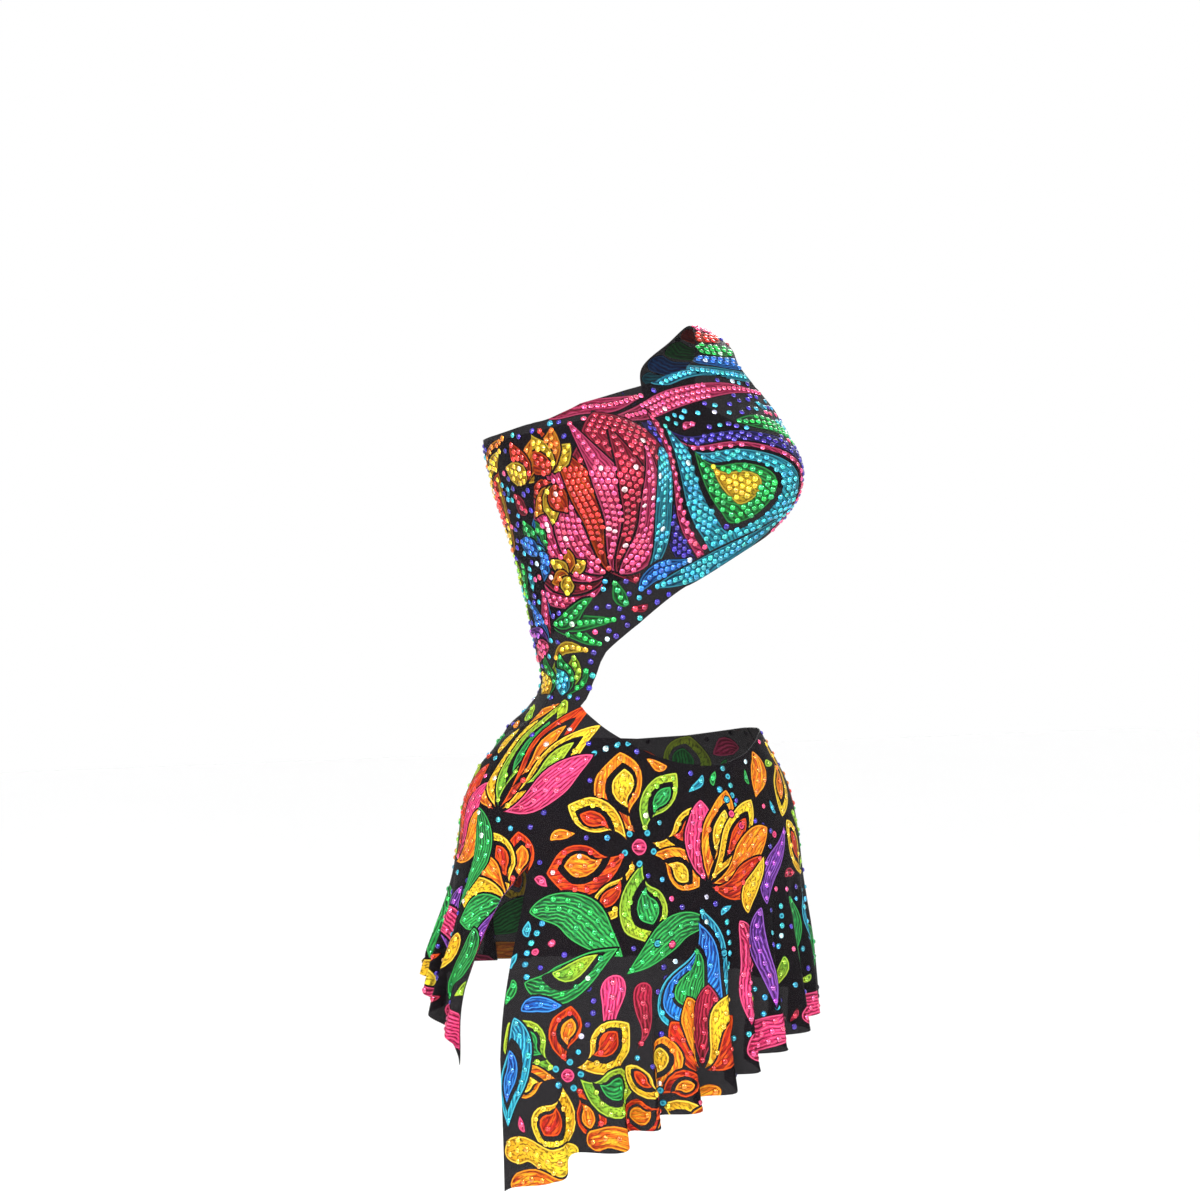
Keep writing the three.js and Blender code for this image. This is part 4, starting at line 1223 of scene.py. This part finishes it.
class Graph:
    """The nodes of a material or a world, with short calls for those used here."""

    def __init__(self, owner):
        owner.use_nodes = True
        self.nodes, self.links = owner.node_tree.nodes, owner.node_tree.links

    def fill(self, node, inputs):
        for key, value in inputs.items():
            if isinstance(value, bpy.types.NodeSocket):
                self.links.new(value, node.inputs[key])
            else:
                node.inputs[key].default_value = value

    def add(self, kind, inputs, **settings):
        """A new node's outputs."""
        node = self.nodes.new("ShaderNode" + kind)
        for name, value in settings.items():
            setattr(node, name, value)
        self.fill(node, inputs)
        return node.outputs

    def math(self, kind, *values):
        return self.add("Math", dict(enumerate(values)), operation=kind)[0]

    def times(self, a, b):
        return self.math("MULTIPLY", a, b)

    def plus(self, a, b):
        return self.math("ADD", a, b)

    def ramp(self, value, low, high, kind="SMOOTHSTEP"):
        """0 below low and 1 above high."""
        inputs = {"Value": value, "From Min": low, "From Max": high}
        return self.add("MapRange", inputs, interpolation_type=kind)[0]

    def attribute(self, name, output):
        return self.add("Attribute", {}, attribute_name=name)[output]

    def noise(self, vector, scale, detail=2.0):
        return self.add("TexNoise", {"Vector": vector, "Scale": scale, "Detail": detail})["Fac"]

    def mix(self, share, a, b, kind="MIX"):
        inputs = {"Factor": share, "A": a, "B": b}
        return self.add("Mix", inputs, data_type="RGBA", blend_type=kind)["Result"]

    def tinted(self, tone, share, low, high):
        return self.mix(1.0, tone, self.mix(share, low, high), "MULTIPLY")


def colour(red, *others):
    """An opaque colour, or a grey of one number."""
    return (red, *(others or (red, red)), 1.0)


def printed_mesh():
    """Black stretch mesh with drawn, hatched colour on its face and a dull reverse."""
    material = bpy.data.materials.new("printed_mesh")
    g = Graph(material)
    # Millimetres along the stroke, off its spine and in from its rim.
    along, away, depth = g.add("SeparateXYZ", {0: g.attribute("run", "Vector")})
    ink, light = g.attribute("ink", "Color"), g.attribute("light", "Color")
    hatch = g.attribute("hatch", "Fac")
    place = g.add("UVMap", {})[0]

    def drawn_out(along_by, away_by, layer=0.0, detail=2.0):
        """Noise that follows the stroke."""
        at = {0: g.times(along, along_by), 1: g.times(away, away_by), 2: layer}
        return g.noise(g.add("CombineXYZ", at)[0], 1.0, detail)

    # Pen lines run along each stroke, about 4 mm apart, and waver.
    lane = g.plus(g.math("DIVIDE", away, 3.6), g.times(drawn_out(0.05, 0.05), 2.6))
    off = g.times(g.math("ABSOLUTE", g.math("SUBTRACT", g.math("FRACT", lane), 0.5)), 2.0)
    gaps = drawn_out(0.16, 0.30, 3.0)
    dark = g.times(g.ramp(off, 0.60, 0.84), g.ramp(gaps, 0.36, 0.46))
    pale = g.times(g.ramp(off, 0.30, 0.08), g.ramp(gaps, 0.64, 0.50))
    # Short flecks cross the yellow, and tongues of a second tone run in the reds.
    flecks, tongues = drawn_out(0.26, 0.54, 9.0, 3.0), drawn_out(0.045, 0.34, 5.0)
    lined, flecked, flamed = (g.math("COMPARE", hatch, kind, 0.4) for kind in (LINES, FLECKS, FLAMES))
    inked, inner = g.ramp(hatch, 0.2, 0.8), g.ramp(depth, 1.0, 2.4)
    tone = g.mix(g.times(g.ramp(tongues, 0.46, 0.60), flamed), ink, light)
    tone = g.mix(g.times(g.times(pale, lined), inner), tone, light)
    shade = g.times(dark, g.plus(lined, g.times(flamed, 0.8)))
    fleck = g.times(g.ramp(flecks, 0.51, 0.57), g.plus(g.times(flecked, 0.85), g.times(flamed, 0.4)))
    shade = g.times(g.math("MAXIMUM", shade, fleck), inner)
    tone = g.mix(shade, tone, g.mix(0.82, tone, colour(0.012, 0.006, 0.004)))
    cloudy = g.noise(place, 26.0, 3.0)
    tone = g.tinted(tone, cloudy, colour(0.72, 0.70, 0.68), colour(1.25, 1.22, 1.2))
    # A stroke is deeper towards its rim, where a light outline edges it.
    tone = g.tinted(tone, g.ramp(depth, 0.5, 6.0), colour(0.50, 0.42, 0.46), colour(1.0))
    outline = g.times(g.ramp(depth, 1.7, 1.0), g.ramp(depth, 0.15, 0.5))
    tone = g.mix(g.times(outline, 0.6), tone, light)
    black = g.mix(cloudy, colour(0.002, 0.0015, 0.003), colour(0.006, 0.004, 0.005))
    face = g.mix(inked, black, tone)
    # The mesh is knitted: a net of fine holes, about a millimetre apart.
    u, v, _ = g.add("SeparateXYZ", {0: place})
    knit_u, knit_v = (
        g.math("SINE", g.times(at, 2 * math.pi / pitch)) for at, pitch in ((u, 0.0012), (v, 0.0010))
    )
    knit = g.times(knit_u, knit_v)
    face = g.mix(g.ramp(knit, 0.35, 0.95), face, g.mix(0.55, face, colour(0.004, 0.003, 0.004)))
    dull = g.mix(0.72, face, colour(0.010, 0.008, 0.010))
    relief = {"Height": g.plus(knit, g.times(flecks, 2.0)), "Strength": 0.35, "Distance": 0.0003}
    g.fill(g.nodes["Principled BSDF"], {
        "Base Color": g.mix(g.attribute("reverse", "Fac"), face, dull),
        "Normal": g.add("Bump", relief)[0],
        # Bare mesh lets a little light through.
        "Alpha": g.plus(g.times(inked, 0.13), 0.87),
        "Roughness": 0.55,
        "Specular IOR Level": 0.06,
    })
    return material


def crystal():
    """Foil-backed faceted glass, in each stone's own colour with painted reflections, shade and glints on its
    facets.
    """
    material = bpy.data.materials.new("crystal")
    g = Graph(material)
    cloudy = g.noise(g.add("TexCoord", {})["Object"], 900.0, 1.0)
    g.fill(g.nodes["Principled BSDF"], {
        "Base Color": g.tinted(g.attribute("tint", "Color"), cloudy, colour(0.8), colour(1.3)),
        "Metallic": 0.6,
        "Roughness": 0.2,
        "Coat Weight": 0.45,
        "Coat Roughness": 0.03,
        "IOR": 1.6,
    })
    return material


def pale_floor():
    material = bpy.data.materials.new("studio_floor")
    g = Graph(material)
    cloudy = g.noise(g.add("TexCoord", {})["Object"], 0.8)
    white = g.mix(cloudy, colour(0.985), colour(1.0))
    g.fill(g.nodes["Principled BSDF"], {"Base Color": white, "Roughness": 0.8})
    return material


# The studio

CAMERA_TURN = math.radians(30.0)        # the camera stands this far to the wearer's right
AHEAD = np.array([math.sin(CAMERA_TURN), math.cos(CAMERA_TURN), 0])
RIGHTWARD = np.array([AHEAD[1], -AHEAD[0], 0])
# Places as the camera sees them: right of the dress, towards the camera and up.
CAMERA_PLACE, LIGHT_AIM = (-33.0, 2200.0, 88.0), (0, 0, -60)
FLOOR_LEVEL, FLOOR_HALF = -1000.0, 12.0
# Name, place, size and power.
LIGHTS = [
    ("key", (-900, 1500, 1100), 0.7, 34),
    ("fill", (1300, 1300, 300), 0.9, 9),
    ("back", (300, -1500, 1200), 0.9, 16),
    ("spark_left", (-500, 1900, 500), 0.1, 8),
    ("spark_right", (700, 1800, 700), 0.1, 7),
    ("spark_low", (-1200, 1300, -200), 0.1, 6),
    ("spark_near", (100, 2000, 900), 0.1, 7),
    ("spark_side", (1500, 900, 500), 0.1, 6),
    ("spark_behind", (-300, -1800, 600), 0.1, 8),
]


def studio_place(right, near_by, high):
    return to_frame(RIGHTWARD * right - AHEAD * near_by + np.array([0, 0, high]))


def add_studio():
    """The camera, the lights, the floor and a white room."""
    scene = bpy.context.scene
    data = bpy.data.cameras.new("photo_camera")
    data.sensor_width, data.lens, data.clip_end = 36.0, 66.0, 100
    scene.camera = link("photo_camera", data)
    scene.camera.location = studio_place(*CAMERA_PLACE)
    scene.camera.rotation_euler = (math.pi / 2, 0, -CAMERA_TURN)
    for name, place, size, power in LIGHTS:
        data = bpy.data.lights.new(name, "AREA")
        data.shape, data.size, data.energy = "DISK", size, power
        light = link(name, data)
        light.location = studio_place(*place)
        aim = Vector(studio_place(*LIGHT_AIM)) - light.location
        light.rotation_euler = aim.to_track_quat("-Z", "Y").to_euler()
    level = to_frame(np.array([0, 0, FLOOR_LEVEL]))[2]
    corners = np.array([(-1, -1, 0), (1, -1, 0), (1, 1, 0), (-1, 1, 0)]) * FLOOR_HALF + [0, 0, level]
    mesh_object("studio_floor", corners, np.array([[0, 1, 2], [0, 2, 3]]), pale_floor())
    world = bpy.data.worlds.new("studio")
    g = Graph(world)
    x, _, z = g.add("SeparateXYZ", {0: g.add("TexCoord", {})["Generated"]})
    # White walls under a ceiling of bright and dark strips, for the stones to mirror.
    strips = g.math("SINE", g.times(x, 11.0))
    strength = g.math("MULTIPLY_ADD", strips, g.ramp(z, 0.32, 0.5, "LINEAR"), 1.0)
    g.fill(g.nodes["Background"], {"Strength": strength, "Color": colour(1.0)})
    scene.world = world
    scene.view_settings.view_transform = "Standard"


# The pieces

SKIRT_SEAMS = [left_seam, right_seam, waist_seam]


def bodice_panel(node, first, last, middle, top, bottom, root, heights, start, way):
    return Panel(
        node, bodice(top, root, first, last, start, way), first, last, middle,
        bodice_outline(first, last, top, bottom, root), np.arange(first + 1, last, 2.0), heights,
        [*SKIRT_SEAMS, crest_seam],
    )


def all_panels():
    """Each panel; its print, fill and stones; how it is held, its flat size and its area."""
    behind = (RUN_BEHIND, RIGHT_SEAM, SLIT_ANGLE - SLIT_HALF)
    before = (RUN_BEFORE, SLIT_ANGLE + SLIT_HALF, LEFT_SEAM)
    return [
        (bodice_panel(
            "bodice_front", RIGHT_SEAM, LEFT_SEAM, 0.0, BODICE_FRONT_TOP, BODICE_FRONT_BOTTOM,
            STRAP_FRONT_ROOT, (-20, 312), 0, 1,
        ), BODICE_FRONT_PRINT, BODICE_FILL, DENSE, "stretched", (0.42, 0.42), 0.086),
        (bodice_panel(
            "bodice_back", LEFT_SEAM, RIGHT_SEAM_BACK, 180.0, BODICE_BACK_TOP, BODICE_BACK_BOTTOM,
            STRAP_BACK_ROOT, (-20, 302), STRAP_END, -1,
        ), BODICE_BACK_PRINT, BODICE_FILL, DENSE, "stretched", (0.42, 0.40), 0.081),
        (SlitPanel(
            "skirt_front", skirt_front, RIGHT_SEAM, LEFT_SEAM, -29.0,
            skirt_outline(LEFT_SEAM, RIGHT_SEAM, [behind, before]),
            np.concatenate([flute_columns(RUN_BEHIND), flute_columns(RUN_BEFORE)])[1:],
            (-480, 0), SKIRT_SEAMS,
        ), SKIRT_FRONT_PRINT, SKIRT_FILL, SPARSE, "hung", (0.86, 0.46), 0.172),
        (Panel(
            "skirt_back", skirt_back, LEFT_SEAM, RIGHT_SEAM_BACK, 180.0,
            skirt_outline(RIGHT_SEAM_BACK, LEFT_SEAM, [(RUN_BACK, LEFT_SEAM, RIGHT_SEAM_BACK)]),
            flute_columns(RUN_BACK)[1:], (-320, 0), SKIRT_SEAMS,
        ), SKIRT_BACK_PRINT, SKIRT_FILL, SPARSE, "hung", (0.86, 0.30), 0.141),
    ]


def main():
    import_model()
    cloth, stone = printed_mesh(), crystal()
    for k, (panel, rows, fill, plan, held, flat, area) in enumerate(all_panels()):
        draw = np.random.default_rng(FIRST_SEED + k)
        loop = anticlockwise(panel.outline * [DEGREE, 1])
        strokes = [mark for make, *given in rows for mark in make(*given)]
        strokes += fill_bare(panel, strokes, loop, *fill, draw)
        made = cloth_piece(panel, strokes, loop, plan[-1], cloth)
        stones = crystals(panel, strokes, loop, plan, stone, draw)
        for piece in (made, stones):
            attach(piece, "root")
        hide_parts(panel.node)
    add_studio()


main()
